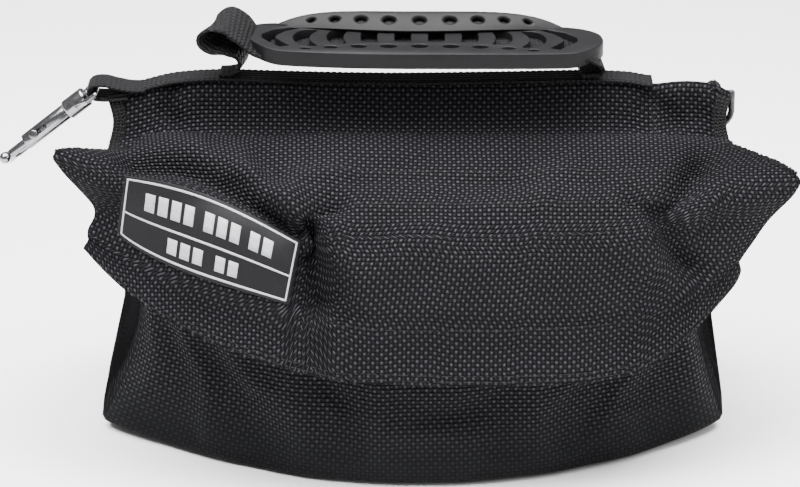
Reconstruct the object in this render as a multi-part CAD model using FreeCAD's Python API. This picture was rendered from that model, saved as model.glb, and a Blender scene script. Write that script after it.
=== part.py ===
import FreeCAD, Part
import math
import os

# Saddle sandbag: two sand-filled pouches joined at a ridge, each with a fold-over flap,
# a moulded grip on a webbing handle, a swivel bolt snap at one end and a D-ring at the other.
# X runs along the ridge, Y from the front pouch to the back pouch, Z up. Millimetres.
# The origin is under the middle of the whole object's box, on the surface it stands on.

# Pouches
pouch_width = 338.0           # at the fullest height
pouch_depth = 106.0           # from the middle plane to the fullest point of the front
pouch_height = 180.0
pouch_gap = 3.0               # between the two pouches
fabric_wall = 1.2
liner_wall = 0.8
layer_gap = 0.4               # between one soft layer and the next

# Shape of a pouch from its base to its top, each as a share of the size above:
# height, half width, depth where the side ends, depth at the middle
pouch_profile = (
    (0.00, 0.900, 0.42, 0.870),
    (0.12, 0.995, 0.48, 0.965),
    (0.44, 1.000, 0.48, 1.000),
    (0.68, 0.965, 0.46, 0.975),
    (0.84, 0.925, 0.40, 0.840),
    (0.95, 0.890, 0.28, 0.590),
    (1.00, 0.860, 0.19, 0.400),
)

# Ridge and saddle panels
saddle_rise = 28.0            # top of the ridge webbing above the pouches
ridge_overhang = 6.0          # ridge past the fullest width of the pouches, each end
ridge_webbing_width = 18.0
ridge_webbing_thickness = 2.5
panel_thickness = 1.6
panel_top_front = 3.0         # panel to middle plane, just under the ridge
panel_top_back = 4.0
panel_top_drop = 5.0          # the back panel starts this far below the ridge webbing
panel_foot = 19.0             # panel to middle plane, at the pouch top
edge_binding_width = 8.0
edge_binding_thickness = 1.0

# Flaps
flap_thickness = 2.0
strip_thickness = 1.2         # hook strip on the pouch, loop strip on the flap
strip_length = 220.0
strip_width = 25.0
strip_clearance = 0.3
flap_root_drop = 12.0         # pouch top to the sewn line where the flap starts
flap_root_inset = 44.0        # fullest front to the sewn line
flap_length = 96.0            # sewn line down to the hem
flap_end_inset = 19.0         # pouch's side to where the ears begin
ear_overhang_left = 31.0      # ear tip past the pouch's side
ear_overhang_right = 42.0
ear_rise_left = 8.0           # ear tip above the sewn line
ear_rise_right = -4.0
ear_drop = 38.0               # height of the ear where it leaves the flap
ear_inset = 60.0              # fullest front to the ears
ear_thickness = 3.0
label_length = 97.0
label_height = 33.0
label_slope = 21.0            # degrees, down towards the middle of the bag
label_inset = 57.0            # pouch's left side to the label's middle
label_drop = 25.0             # sewn line to the label's middle
label_thickness = 0.5
label_rim = 9.0               # room left around the label for the box that cuts it

# Handle
grip_length = 194.0
grip_width = 50.0
grip_thickness = 10.5
grip_point = 22.0             # length of the tapered ends
grip_end_width = 18.0
grip_end_skew = 4.0           # the left end points this far back, the right end as far forward
grip_lift = 9.5               # ridge to underside of the grip
lip_rise = 8.5                # the back rim curls up this far above the top
lip_length = 168.0
lip_width = 15.0              # at the middle of the grip
lip_wall = 3.5
handle_webbing_width = 38.0
handle_webbing_thickness = 2.4
webbing_clearance = 0.3
handle_reach_left = 23.0      # how far the webbing loops out past the grip
handle_reach_right = 8.0
handle_rise_left = 14.0       # how far the loop springs up past the sleeve
handle_rise_right = 0.5
handle_foot = 5.0             # width of the folded webbing where it is sewn to the ridge
handle_foot_gap = 1.5         # room for it to rock on the ridge
slot_count = 8
slot_width = 8.0
slot_reach = 36.0             # across the grip
slot_bend = 7.0               # how far the outermost slot bows
oval_count = 9
oval_length = 9.0
oval_width = 3.2
oval_depth = 1.5

# Swivel bolt snap, measured from the middle of the eye's bar along the hook
snap_drop = 38.5              # degrees below level
snap_roll = 20.0              # degrees that the knob is turned up from the front
snap_pivot_overhang = 7.0     # eye bar past the ridge's left end
snap_pivot_drop = 7.0         # eye bar below the ridge top
snap_strap_width = 20.0
snap_strap_thickness = 2.3
eye_wire = 3.0                # diameter
eye_clearance = 0.4
boss_start = 7.3
boss_length = 14.7
boss_diameter = 11.6
rivet_diameter = 4.0
rivet_clearance = 0.08
rivet_head_diameter = 7.2
rivet_head_length = 2.2
barrel_gap = 0.2
barrel_length = 29.8
barrel_diameter = 9.3
bolt_diameter = 4.9
bolt_clearance = 0.1
bolt_length = 27.0
bolt_travel = 7.0
mouth_length = 12.2           # barrel end to nose
shank_offset = 12.0           # shank to bolt, centre to centre
shank_diameter = 5.2
nose_diameter = 6.6
knob_diameter = 5.0
knob_height = 3.2
knob_stem = 2.6
slot_clearance = 0.2
spring_wall = 0.6

# D-ring
ring_width = 24.4
ring_height = 24.0
ring_wire = 3.6
ring_strap_width = 14.0
ring_bar_drop = 10.0          # bar below the ridge top
ring_inset = 9.2              # ring's middle to the ridge's end

vec = FreeCAD.Vector
x_axis = vec(1, 0, 0)
y_axis = vec(0, 1, 0)
z_axis = vec(0, 0, 1)
big = 600.0                   # larger than the bag, for cutting boxes

ridge_height = pouch_height + saddle_rise
ridge_length = pouch_width + 2 * ridge_overhang
flap_root_height = pouch_height - flap_root_drop
flap_root_depth = pouch_depth - flap_root_inset
flap_hem_height = flap_root_height - flap_length
flap_half_width = pouch_width / 2 - flap_end_inset
ear_reach_left = pouch_width / 2 + ear_overhang_left
ear_reach_right = pouch_width / 2 + ear_overhang_right
ear_depth = pouch_depth - ear_inset
label_centre = label_inset - pouch_width / 2
label_centre_height = flap_root_height - label_drop
snap_pivot_reach = ridge_length / 2 + snap_pivot_overhang

# The flap hangs clear of the pouch by both strips and their clearances.
flap_gap = 3 * strip_clearance + 2 * strip_thickness
grip_bottom = ridge_height + grip_lift
webbing_level = grip_bottom + grip_thickness / 2
panel_top = ridge_height - ridge_webbing_thickness - 0.3
panel_bottom = pouch_height + 1.5
snap_pivot = vec(-snap_pivot_reach, 0, ridge_height - snap_pivot_drop)
ring_centre = ridge_length / 2 - ring_inset
barrel_start = boss_start + boss_length + barrel_gap
barrel_end = barrel_start + barrel_length
nose_start = barrel_end + mouth_length
bolt_start = nose_start - barrel_gap - bolt_length
bore_radius = bolt_diameter / 2 + bolt_clearance
bore_start = barrel_start + 4.0
snap_reach = nose_start + nose_diameter


def middle_shift():
    """Distance from the bag's middle to the middle of the whole object's box, along X."""
    left = snap_pivot_reach + snap_reach * math.cos(math.radians(snap_drop))
    return (left - ear_reach_right) / 2


def box(x0, x1, y0, y1, z0, z1):
    return Part.makeBox(x1 - x0, y1 - y0, z1 - z0, vec(x0, y0, z0))


def prism(points, direction):
    """A solid whose end is the polygon through the points, extruded along direction."""
    return Part.Face(Part.makePolygon(points + [points[0]])).extrude(direction)


def rod(start, end, radius):
    return Part.makeCylinder(radius, (end - start).Length, start, end - start)


def ball(centre, radius):
    return Part.makeSphere(radius, centre)


def joined(shapes):
    result = shapes[0]
    for shape in shapes[1:]:
        result = result.fuse(shape)
    return result.removeSplitter()


def mirrored(shape):
    """The same piece on the back pouch."""
    return shape.mirror(vec(0, 0, 0), y_axis)


def pouch_section(height, half_width, side_depth, depth, inner):
    """One level outline of a pouch: flat towards the middle plane, bowed in front."""
    back_left = vec(-half_width, -inner, height)
    back_right = vec(half_width, -inner, height)
    front_left = vec(-half_width, -side_depth, height)
    front_right = vec(half_width, -side_depth, height)
    front = vec(0, -depth, height)
    edges = [
        Part.LineSegment(back_left, front_left).toShape(),
        Part.Arc(front_left, front, front_right).toShape(),
        Part.LineSegment(front_right, back_right).toShape(),
        Part.LineSegment(back_right, back_left).toShape(),
    ]
    return Part.Wire(edges)


def pouch_solid(inset):
    """The pouch's soft outer form, every wall moved inwards by inset (outwards if negative)."""
    wires = []
    rise = pouch_height - 2 * inset
    for height, half, side, depth in pouch_profile:
        wires.append(pouch_section(
            inset + rise * height,
            half * pouch_width / 2 - inset,
            side * pouch_depth - inset,
            depth * pouch_depth - inset,
            pouch_gap / 2 + inset,
        ))
    return Part.makeLoft(wires, True, False)


def skin(inner_offset, thickness):
    """A layer over the outside of the pouch, from inner_offset outwards."""
    return pouch_solid(-inner_offset - thickness).cut(pouch_solid(-inner_offset))


def pouch_shell():
    return pouch_solid(0).cut(pouch_solid(fabric_wall))


def liner_bag():
    outer = fabric_wall + layer_gap
    return pouch_solid(outer).cut(pouch_solid(outer + liner_wall))


def sand_fill():
    return pouch_solid(fabric_wall + layer_gap + liner_wall + layer_gap)


def strip_window():
    """Where the hook and loop strips lie, across the lower part of the flap."""
    bottom = flap_hem_height + 6.0
    half = strip_length / 2
    return box(-half, half, -big, -pouch_depth * 0.6, bottom, bottom + strip_width)


def hook_strip():
    return skin(strip_clearance, strip_thickness).common(strip_window())


def loop_strip():
    lift = 2 * strip_clearance + strip_thickness
    return skin(lift, strip_thickness).common(strip_window())


def ear(side, reach, rise):
    """The flap's stiff corner that stands out past the pouch."""
    root = flap_half_width - 12.0
    top = flap_root_height - 4.0
    points = [
        vec(side * root, -ear_depth, top),
        vec(side * reach, -ear_depth, top + rise),
        vec(side * (reach - 6.0), -ear_depth, top + rise - 14.0),
        vec(side * (flap_half_width + 24.0), -ear_depth, top - ear_drop),
        vec(side * root, -ear_depth, top - ear_drop),
    ]
    plate = prism(points, vec(0, -ear_thickness, 0))
    return plate.cut(pouch_solid(-flap_gap))


def flap():
    """The cover sheet from the sewn line down to the hem, with its two ears."""
    lower = box(-big, big, -big, -flap_root_depth, flap_hem_height, flap_root_height)
    sides = box(-big, big, -flap_root_depth - 1.0, -ear_depth, flap_root_height - ear_drop - 30,
                flap_root_height - 14.0)
    sheet = skin(flap_gap, flap_thickness).common(lower.fuse(sides))
    return joined([sheet, ear(-1, ear_reach_left, ear_rise_left),
                   ear(1, ear_reach_right, ear_rise_right)])


def flap_binding():
    """Folded tape along the top edge of both ears."""
    tapes = []
    for side, reach, rise in ((-1, ear_reach_left, ear_rise_left),
                              (1, ear_reach_right, ear_rise_right)):
        start = vec(side * (flap_half_width + 8.0), -ear_depth, flap_root_height - 1.0)
        end = vec(side * (reach - 2.0), -ear_depth, flap_root_height - 1.0 + rise)
        points = [start, end, end + vec(0, 0, 2.4), start + vec(0, 0, 2.4)]
        tapes.append(prism(points, vec(0, -ear_thickness, 0)))
    return Part.makeCompound(tapes)


def label_patch():
    half_length = label_length / 2
    half_height = label_height / 2
    window = box(-half_length, half_length, -big, 0, -half_height, half_height)
    window.rotate(vec(0, 0, 0), y_axis, label_slope)
    window.translate(vec(label_centre, -label_rim - ear_depth, label_centre_height))
    layer = skin(flap_gap + flap_thickness + strip_clearance / 3, label_thickness)
    return layer.common(window)


def saddle_panel(top_depth, top_height):
    """Fabric web from the ridge down to the top of the pouch."""
    shift = vec(0, -panel_thickness, 0)
    top = vec(-ridge_length / 2, -top_depth, top_height)
    foot = vec(-ridge_length / 2, -panel_foot, panel_bottom)
    return prism([top, foot, foot + shift, top + shift], x_axis * ridge_length)


def edge_binding(top_depth, top_height):
    """Tape sewn on the outer face of the web, along both of its upright edges."""
    gap = panel_thickness + 0.2
    shift = vec(0, -edge_binding_thickness, 0)
    lift = vec(0, -gap, 0)
    tapes = []
    for start in (-ridge_length / 2, ridge_length / 2 - edge_binding_width):
        top = vec(start, -top_depth, top_height) + lift
        foot = vec(start, -panel_foot, panel_bottom) + lift
        tapes.append(prism([top, foot, foot + shift, top + shift], x_axis * edge_binding_width))
    return Part.makeCompound(tapes)


def ridge_webbing():
    half = ridge_length / 2
    return box(-half, half, -ridge_webbing_width / 2, ridge_webbing_width / 2,
               ridge_height - ridge_webbing_thickness, ridge_height)


def eye_strap_loop():
    """Webbing folded round the bar of the snap's eye and sewn to the end of the ridge."""
    inner = eye_wire / 2 + eye_clearance
    outer = inner + snap_strap_thickness
    half = snap_strap_width / 2
    start = snap_pivot - y_axis * half
    end = snap_pivot + y_axis * half
    ridge_end = -ridge_length / 2 - 0.2
    top = snap_pivot.z + outer
    tail = box(snap_pivot.x, ridge_end, -half, half, top - 2 * snap_strap_thickness, top)
    return rod(start, end, outer).fuse(tail).cut(rod(start, end, inner)).removeSplitter()


def ring_strap_loop():
    """Webbing folded round the bar of the D-ring and sewn under the end of the ridge."""
    inner = ring_wire / 2 + eye_clearance
    outer = inner + 1.3
    half = ring_strap_width / 2
    level = ridge_height - ring_bar_drop
    start = vec(ring_centre - half, 0, level)
    end = vec(ring_centre + half, 0, level)
    tail = box(ring_centre - half, ring_centre + half, -1.3, 1.3, level, panel_top)
    return rod(start, end, outer).fuse(tail).cut(rod(start, end, inner)).removeSplitter()


def d_ring():
    """Round wire: a straight bar at the top and a half circle below it."""
    radius = ring_wire / 2
    reach = ring_width / 2 - radius
    level = ridge_height - ring_bar_drop
    low = level - ring_height + 2 * radius + reach
    left = vec(ring_centre - reach, 0, level)
    right = vec(ring_centre + reach, 0, level)
    left_low = vec(ring_centre - reach, 0, low)
    right_low = vec(ring_centre + reach, 0, low)
    bow = Part.makeTorus(reach, radius, vec(ring_centre, 0, low), y_axis)
    below = box(-big, big, -big, big, -big, low)
    return joined([rod(left, right, radius), ball(left, radius), ball(right, radius),
                   rod(left, left_low, radius), rod(right, right_low, radius),
                   bow.common(below)])


def grip_outline(length, width, end_width, point, level):
    """Top view of the grip: long and straight, with ends that taper to a blunt point."""
    half = length / 2
    straight = half - point
    near = -end_width / 2
    far = end_width / 2
    skew = grip_end_skew
    return [
        vec(-half, near + skew, level), vec(-straight, -width / 2, level),
        vec(straight, -width / 2, level), vec(half, near - skew, level),
        vec(half, far - skew, level), vec(straight, width / 2, level),
        vec(-straight, width / 2, level), vec(-half, far + skew, level),
    ]


def grip_slots():
    """Curved slots across the top, bowed outwards and more so towards the ends."""
    pitch = (grip_length - 2 * grip_point) / slot_count
    depth = grip_thickness / 2
    slots = []
    for index in range(slot_count):
        offset = (index - (slot_count - 1) / 2) * pitch
        bow = slot_bend * offset / (slot_count * pitch / 2)
        half = slot_reach / 2
        near = vec(offset - slot_width / 2, -half, webbing_level)
        far = vec(offset - slot_width / 2, half, webbing_level)
        middle = vec(offset - slot_width / 2 + bow, 0, webbing_level)
        width = vec(slot_width, 0, 0)
        edges = [
            Part.Arc(near, middle, far).toShape(),
            Part.LineSegment(far, far + width).toShape(),
            Part.Arc(far + width, middle + width, near + width).toShape(),
            Part.LineSegment(near + width, near).toShape(),
        ]
        slots.append(Part.Face(Part.Wire(edges)).extrude(z_axis * (depth + 1.0)))
    return slots


def grip_ovals():
    """A row of shallow ovals along the front rim and another along the raised back rim."""
    row = (slot_reach + grip_width) / 4
    pitch = (grip_length - 2 * grip_point) / oval_count
    ovals = []
    for index in range(oval_count):
        offset = (index - (oval_count - 1) / 2) * pitch
        for side, rise in ((-1, 0), (1, lip_rise)):
            top = grip_bottom + grip_thickness + rise
            middle = vec(offset, side * row, top - oval_depth)
            half = vec((oval_length - oval_width) / 2, 0, 0)
            body = box(middle.x - half.x, middle.x + half.x, middle.y - oval_width / 2,
                       middle.y + oval_width / 2, middle.z, top + 1.0)
            for end in (middle - half, middle + half):
                body = body.fuse(Part.makeCylinder(oval_width / 2, oval_depth + 1.0, end))
            ovals.append(body)
    return ovals


def grip_lip():
    """The back rim, curled up: a bowed strip standing on a thin wall."""
    top = grip_bottom + grip_thickness
    back = grip_width / 2
    half = lip_length / 2
    left = vec(-half, back, top)
    right = vec(half, back, top)
    bow = Part.Arc(left, vec(0, back - lip_width, top), right).toShape()
    blank = Part.Face(Part.Wire([bow, Part.LineSegment(right, left).toShape()]))
    hollow = box(-half, half, -big, back - lip_wall, top - 1.0, top + lip_rise - lip_wall)
    body = blank.extrude(z_axis * lip_rise).cut(hollow)
    foot = box(-half + grip_point, half - grip_point, back - lip_wall, back, top - 1.0, top + 1.0)
    return body.fuse(foot)


def handle_grip():
    """Moulded grip with a sleeve along it for the webbing."""
    outline = grip_outline(grip_length, grip_width, grip_end_width, grip_point, grip_bottom)
    grip = prism(outline, z_axis * grip_thickness).cut(Part.makeCompound(grip_slots()))
    grip = grip.fuse(grip_lip()).removeSplitter()
    side = handle_webbing_width / 2 + webbing_clearance
    deep = handle_webbing_thickness / 2 + webbing_clearance
    sleeve = box(-big, big, -side, side, webbing_level - deep, webbing_level + deep)
    ends = sleeve.common(box(-big, big, -side, side, 0, big))
    return grip.cut(Part.makeCompound(grip_ovals())).cut(ends)


def webbing_leg(side, reach, rise):
    """One end of the handle webbing: out of the grip, over, and down to the ridge."""
    half_grip = grip_length / 2
    half_sleeve = handle_webbing_thickness / 2
    foot_level = ridge_height + handle_foot_gap
    inside = half_grip - handle_webbing_thickness
    outside = half_grip + reach
    top = webbing_level + half_sleeve
    crown = top + rise
    outer = [
        vec(side * (half_grip + 1.0), 0, top), vec(side * (outside - 7.0), 0, crown),
        vec(side * outside, 0, crown - 5.0), vec(side * inside, 0, foot_level),
    ]
    inner = [
        vec(side * (inside - 3.0), 0, foot_level), vec(side * (inside - 3.0), 0, foot_level + 1.5),
        vec(side * (outside - handle_webbing_thickness - 1.0), 0, crown - 6.0),
        vec(side * (outside - 7.0), 0, crown - handle_webbing_thickness - 0.5),
        vec(side * (half_grip + 1.0), 0, top - handle_webbing_thickness),
    ]
    slab = prism(outer + inner, y_axis * handle_webbing_width)
    slab.translate(y_axis * (-handle_webbing_width / 2))
    # The webbing is folded narrower towards the line where it is sewn to the ridge.
    half = handle_webbing_width / 2
    foot = handle_foot / 2
    high = crown + 1.0
    taper = [
        vec(-big, -foot, foot_level - 1.0), vec(-big, foot, foot_level - 1.0),
        vec(-big, foot, foot_level + 1.0), vec(-big, half, webbing_level - half_sleeve),
        vec(-big, half, high), vec(-big, -half, high),
        vec(-big, -half, webbing_level - half_sleeve), vec(-big, -foot, foot_level + 1.0),
    ]
    return slab.common(prism(taper, x_axis * 2 * big))


def handle_webbing():
    half = grip_length / 2 + 1.0
    side = handle_webbing_width / 2
    deep = handle_webbing_thickness / 2
    middle = box(-half, half, -side, side, webbing_level - deep, webbing_level + deep)
    left = webbing_leg(-1, handle_reach_left, handle_rise_left)
    right = webbing_leg(1, handle_reach_right, handle_rise_right)
    return joined([middle, left, right])


def on_hook(shape, roll):
    """Places a piece made along +X, with its front at +Z, on the hook's line."""
    angle = math.radians(snap_drop)
    along = vec(-math.cos(angle), 0, -math.sin(angle))
    front = vec(0, -1, 0)
    across = front.cross(along)
    turn = FreeCAD.Rotation(along, across, front, "XZY")
    placed = shape.copy()
    placed.rotate(vec(0, 0, 0), x_axis, roll)
    placed.Placement = FreeCAD.Placement(snap_pivot, turn).multiply(placed.Placement)
    return placed


def snap_eye():
    """Wire eye for the strap, with the boss that the rivet turns in."""
    radius = eye_wire / 2
    half = snap_strap_width / 2 + 0.5 + radius
    boss_end = boss_start + boss_length
    boss_radius = boss_diameter / 2
    boss = rod(vec(boss_start, 0, 0), vec(boss_end, 0, 0), boss_radius)
    boss = boss.makeFillet(1.5, [boss.Edges[0], boss.Edges[2]])
    pieces = [rod(vec(0, 0, -half), vec(0, 0, half), radius), boss]
    for side in (-1, 1):
        corner = vec(0, 0, side * half)
        shoulder = vec(boss_start - 1.0, 0, side * half)
        root = vec(boss_start + boss_length / 2, 0, side * (boss_radius - 1.0))
        pieces += [ball(corner, radius), rod(corner, shoulder, radius), ball(shoulder, radius),
                   rod(shoulder, root, radius)]
    hole = rod(vec(boss_start - 1.0, 0, 0), vec(boss_end + 1.0, 0, 0),
               rivet_diameter / 2 + rivet_clearance)
    room = rod(vec(boss_start - rivet_head_length - 1.0, 0, 0), vec(boss_start, 0, 0),
               rivet_head_diameter / 2 + 0.6)
    return joined(pieces).cut(hole).cut(room)


def swivel_rivet():
    head = rod(vec(boss_start - 0.15 - rivet_head_length, 0, 0), vec(boss_start - 0.15, 0, 0),
               rivet_head_diameter / 2)
    shank = rod(vec(boss_start - 1.0, 0, 0), vec(barrel_start + 3.0, 0, 0), rivet_diameter / 2)
    return joined([head, shank])


def bolt_slot():
    """Slot in the barrel's front for the knob's stem, from locked to fully drawn back."""
    half = knob_stem / 2 + slot_clearance
    stem = bolt_start + 7.0
    low = stem - bolt_travel
    top = barrel_diameter
    body = box(low, stem, -half, half, 0, top)
    for end in (low, stem):
        body = body.fuse(Part.makeCylinder(half, top, vec(end, 0, 0)))
    return body


def snap_body():
    """Barrel for the bolt, with the fixed hook that runs back round to the nose."""
    radius = shank_diameter / 2
    barrel = rod(vec(barrel_start, 0, 0), vec(barrel_end, 0, 0), barrel_diameter / 2)
    bend = 4.5
    points = [
        vec(barrel_end - 4.0, 0, -barrel_diameter / 2 + 1.0),
        vec(barrel_end + 3.0, 0, -shank_offset),
        vec(nose_start + nose_diameter / 2 - bend, 0, -shank_offset),
        vec(nose_start + nose_diameter / 2, 0, -shank_offset + bend),
    ]
    pieces = [barrel]
    for start, end in zip(points, points[1:]):
        pieces += [rod(start, end, radius), ball(end, radius)]
    nose_foot = vec(nose_start + nose_diameter / 2, 0, -shank_offset + bend)
    nose_top = vec(nose_start + nose_diameter / 2, 0, bolt_diameter / 2 - 1.0)
    pieces += [rod(nose_foot, nose_top, nose_diameter / 2), ball(nose_top, nose_diameter / 2),
               ball(nose_foot, nose_diameter / 2)]
    bore = rod(vec(bore_start, 0, 0), vec(barrel_end + 1.0, 0, 0), bore_radius)
    rivet_hole = rod(vec(barrel_start - 1.0, 0, 0), vec(barrel_start + 3.2, 0, 0),
                     rivet_diameter / 2 + rivet_clearance / 4)
    seat = box(0, nose_start, -radius * 2, radius * 2, -bolt_diameter / 2 - 0.5, big)
    seat = seat.cut(box(0, barrel_end + 0.01, -big, big, -big, big))
    return joined(pieces).cut(bore).cut(rivet_hole).cut(bolt_slot()).cut(seat)


def snap_bolt():
    end = nose_start - barrel_gap
    bolt = rod(vec(bolt_start, 0, 0), vec(end, 0, 0), bolt_diameter / 2)
    bolt = bolt.makeFillet(0.6, [bolt.Edges[0], bolt.Edges[2]])
    hole = rod(vec(bolt_start + 7.0, 0, 0.4), vec(bolt_start + 7.0, 0, 10.0), knob_stem / 2 + 0.02)
    return bolt.cut(hole)


def thumb_knob():
    place = bolt_start + 7.0
    top = barrel_diameter / 2 + 0.5
    stem = rod(vec(place, 0, 0.5), vec(place, 0, top + 0.5), knob_stem / 2)
    head = rod(vec(place, 0, top), vec(place, 0, top + knob_height), knob_diameter / 2)
    return joined([stem, head])


def bolt_spring():
    """Space taken by the coil spring behind the bolt."""
    outer = bore_radius - 0.15
    start = vec(bore_start + 0.1, 0, 0)
    end = vec(bolt_start - 0.1, 0, 0)
    return rod(start, end, outer).cut(rod(start, end, outer - spring_wall))


def build():
    """All nodes by name, in the bag's own frame."""
    front_top = (panel_top_front, panel_top)
    back_top = (panel_top_back, panel_top - panel_top_drop)
    nodes = {
        "front_pouch_shell": pouch_shell(),
        "front_liner_bag": liner_bag(),
        "front_sand_fill": sand_fill(),
        "front_hook_strip": hook_strip(),
        "front_saddle_panel": saddle_panel(*front_top),
        "front_edge_binding": edge_binding(*front_top),
        "ridge_webbing": ridge_webbing(),
        "snap_strap_loop": eye_strap_loop(),
        "ring_strap_loop": ring_strap_loop(),
        "front_flap": flap(),
        "front_loop_strip": loop_strip(),
        "front_flap_binding": flap_binding(),
        "label_patch": label_patch(),
        "back_saddle_panel": mirrored(saddle_panel(*back_top)),
        "back_edge_binding": mirrored(edge_binding(*back_top)),
        "handle_webbing": handle_webbing(),
        "handle_grip": handle_grip(),
        "d_ring": d_ring(),
        "snap_eye": on_hook(snap_eye(), 0),
        "swivel_rivet": on_hook(swivel_rivet(), snap_roll),
        "snap_body": on_hook(snap_body(), snap_roll),
        "snap_bolt": on_hook(snap_bolt(), snap_roll),
        "thumb_knob": on_hook(thumb_knob(), snap_roll),
        "bolt_spring": on_hook(bolt_spring(), snap_roll),
    }
    for name in ("pouch_shell", "liner_bag", "sand_fill", "hook_strip", "flap", "loop_strip",
                 "flap_binding"):
        nodes["back_" + name] = mirrored(nodes["front_" + name])
    return nodes


os.makedirs("parts", exist_ok=True)
for node, shape in build().items():
    shape.translate(vec(middle_shift(), 0, 0))
    shape.exportStep("parts/" + node + ".step")
    print(node, shape.isValid(), len(shape.Solids), round(shape.Volume))
print("bag middle at x =", round(middle_shift(), 2))
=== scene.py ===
import math

import bmesh
import bpy
import numpy as np
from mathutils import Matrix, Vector


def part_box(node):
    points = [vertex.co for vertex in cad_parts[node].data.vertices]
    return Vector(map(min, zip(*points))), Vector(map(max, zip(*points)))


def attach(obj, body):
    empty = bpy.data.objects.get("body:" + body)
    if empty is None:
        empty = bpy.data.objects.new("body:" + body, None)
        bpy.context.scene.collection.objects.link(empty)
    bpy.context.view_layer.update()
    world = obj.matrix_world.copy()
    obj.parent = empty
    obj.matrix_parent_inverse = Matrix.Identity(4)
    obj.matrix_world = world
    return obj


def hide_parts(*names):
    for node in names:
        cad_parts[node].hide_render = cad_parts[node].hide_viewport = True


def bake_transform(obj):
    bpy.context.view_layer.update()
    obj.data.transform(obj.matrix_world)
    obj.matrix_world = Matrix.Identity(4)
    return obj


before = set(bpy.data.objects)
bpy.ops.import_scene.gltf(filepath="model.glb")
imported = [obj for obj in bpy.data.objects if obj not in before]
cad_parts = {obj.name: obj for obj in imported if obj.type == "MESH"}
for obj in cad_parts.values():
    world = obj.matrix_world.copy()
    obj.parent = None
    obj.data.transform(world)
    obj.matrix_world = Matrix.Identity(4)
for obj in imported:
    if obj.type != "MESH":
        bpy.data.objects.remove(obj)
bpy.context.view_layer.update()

print("frame loaded")


mm = 0.001
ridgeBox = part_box("ridge_webbing")
bagMiddle = (ridgeBox[0][0] + ridgeBox[1][0]) / 2  # world x of the bag's middle


# Bag millimetres to the frame's metres.
def toWorld(points):
    out = np.asarray(points, float) * mm
    out[..., 0] += bagMiddle
    return out


# Rows of weights that carry values at evenly spaced knots to evenly spaced samples, by Catmull-Rom.
def cubicWeights(count, samples):
    place = np.linspace(0, count - 1, samples)
    cell = np.minimum(place.astype(int), count - 2)
    t = place - cell
    weights = np.zeros((samples, count))
    parts = (-0.5 * t + t ** 2 - 0.5 * t ** 3, 1 - 2.5 * t ** 2 + 1.5 * t ** 3,
             0.5 * t + 2 * t ** 2 - 1.5 * t ** 3, -0.5 * t ** 2 + 0.5 * t ** 3)
    rows = np.arange(samples)
    for step, part in zip((-1, 0, 1, 2), parts):
        column = cell + step
        inside = (column >= 0) & (column < count)
        weights[rows[inside], column[inside]] += part[inside]
        low = column < 0  # past an end, the line through the last two knots goes on
        weights[rows[low], 0] += 2 * part[low]
        weights[rows[low], 1] -= part[low]
        high = column >= count
        weights[rows[high], count - 1] += 2 * part[high]
        weights[rows[high], count - 2] -= part[high]
    return weights


# A smooth surface through a net of given points: cubic along the rows, then down them.
def patch(rows, across, down):
    net = np.array(rows, float)
    a = cubicWeights(net.shape[1], across)
    b = cubicWeights(net.shape[0], down)
    return np.einsum("ij,jkc,lk->ilc", b, net, a)


# A smooth line through given points.
def curve(points, samples):
    net = np.array(points, float)
    return cubicWeights(len(net), samples) @ net


# Cloth coordinates in metres: mean arc length across and down, so a weave keeps its scale.
def flatCoordinates(grid):
    across = np.linalg.norm(np.diff(grid, axis=1), axis=2)
    down = np.linalg.norm(np.diff(grid, axis=0), axis=2)
    u = np.concatenate([np.zeros((grid.shape[0], 1)), np.cumsum(across, axis=1)], axis=1)
    u = u - u.mean(axis=1, keepdims=True)
    v = np.concatenate([np.zeros((1, grid.shape[1])), np.cumsum(down, axis=0)], axis=0)
    return np.stack([u, v], axis=2)


def makeMesh(name, verts, faces, uv=None):
    mesh = bpy.data.meshes.new(name)
    mesh.from_pydata(verts.reshape(-1, 3).tolist(), [], [list(f) for f in faces])
    if uv is not None:
        layer = mesh.uv_layers.new(name="cloth")
        loops = np.empty(len(mesh.loops), int)
        mesh.loops.foreach_get("vertex_index", loops)
        layer.data.foreach_set("uv", uv.reshape(-1, 2)[loops].ravel())
    mesh.polygons.foreach_set("use_smooth", [True] * len(mesh.polygons))
    mesh.update()
    piece = bpy.data.objects.new(name, mesh)
    bpy.context.scene.collection.objects.link(piece)
    return piece


# Quads of a grid numbered row by row; a wrapped side joins its last line to its first.
def gridFaces(rows, columns, wrapRows=False, wrapColumns=False):
    r = np.arange(rows if wrapRows else rows - 1)[:, None]
    c = np.arange(columns if wrapColumns else columns - 1)[None, :]
    r2 = (r + 1) % rows
    c2 = (c + 1) % columns
    return np.stack([r * columns + c, r2 * columns + c, r2 * columns + c2, r * columns + c2],
                    axis=-1).reshape(-1, 4)


# A grid of cloth with a real thickness.
def sheetPiece(name, grid, thick):
    piece = makeMesh(name, grid, gridFaces(*grid.shape[:2]), flatCoordinates(grid))
    solid = piece.modifiers.new("thickness", "SOLIDIFY")
    solid.thickness = thick
    solid.offset = 0
    applyModifiers(piece)
    return piece


def applyModifiers(piece):
    graph = bpy.context.evaluated_depsgraph_get()
    mesh = bpy.data.meshes.new_from_object(piece.evaluated_get(graph))
    piece.modifiers.clear()
    piece.data = mesh


def unit(v):
    return v / np.maximum(np.linalg.norm(v, axis=-1, keepdims=True), 1e-12)


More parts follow.
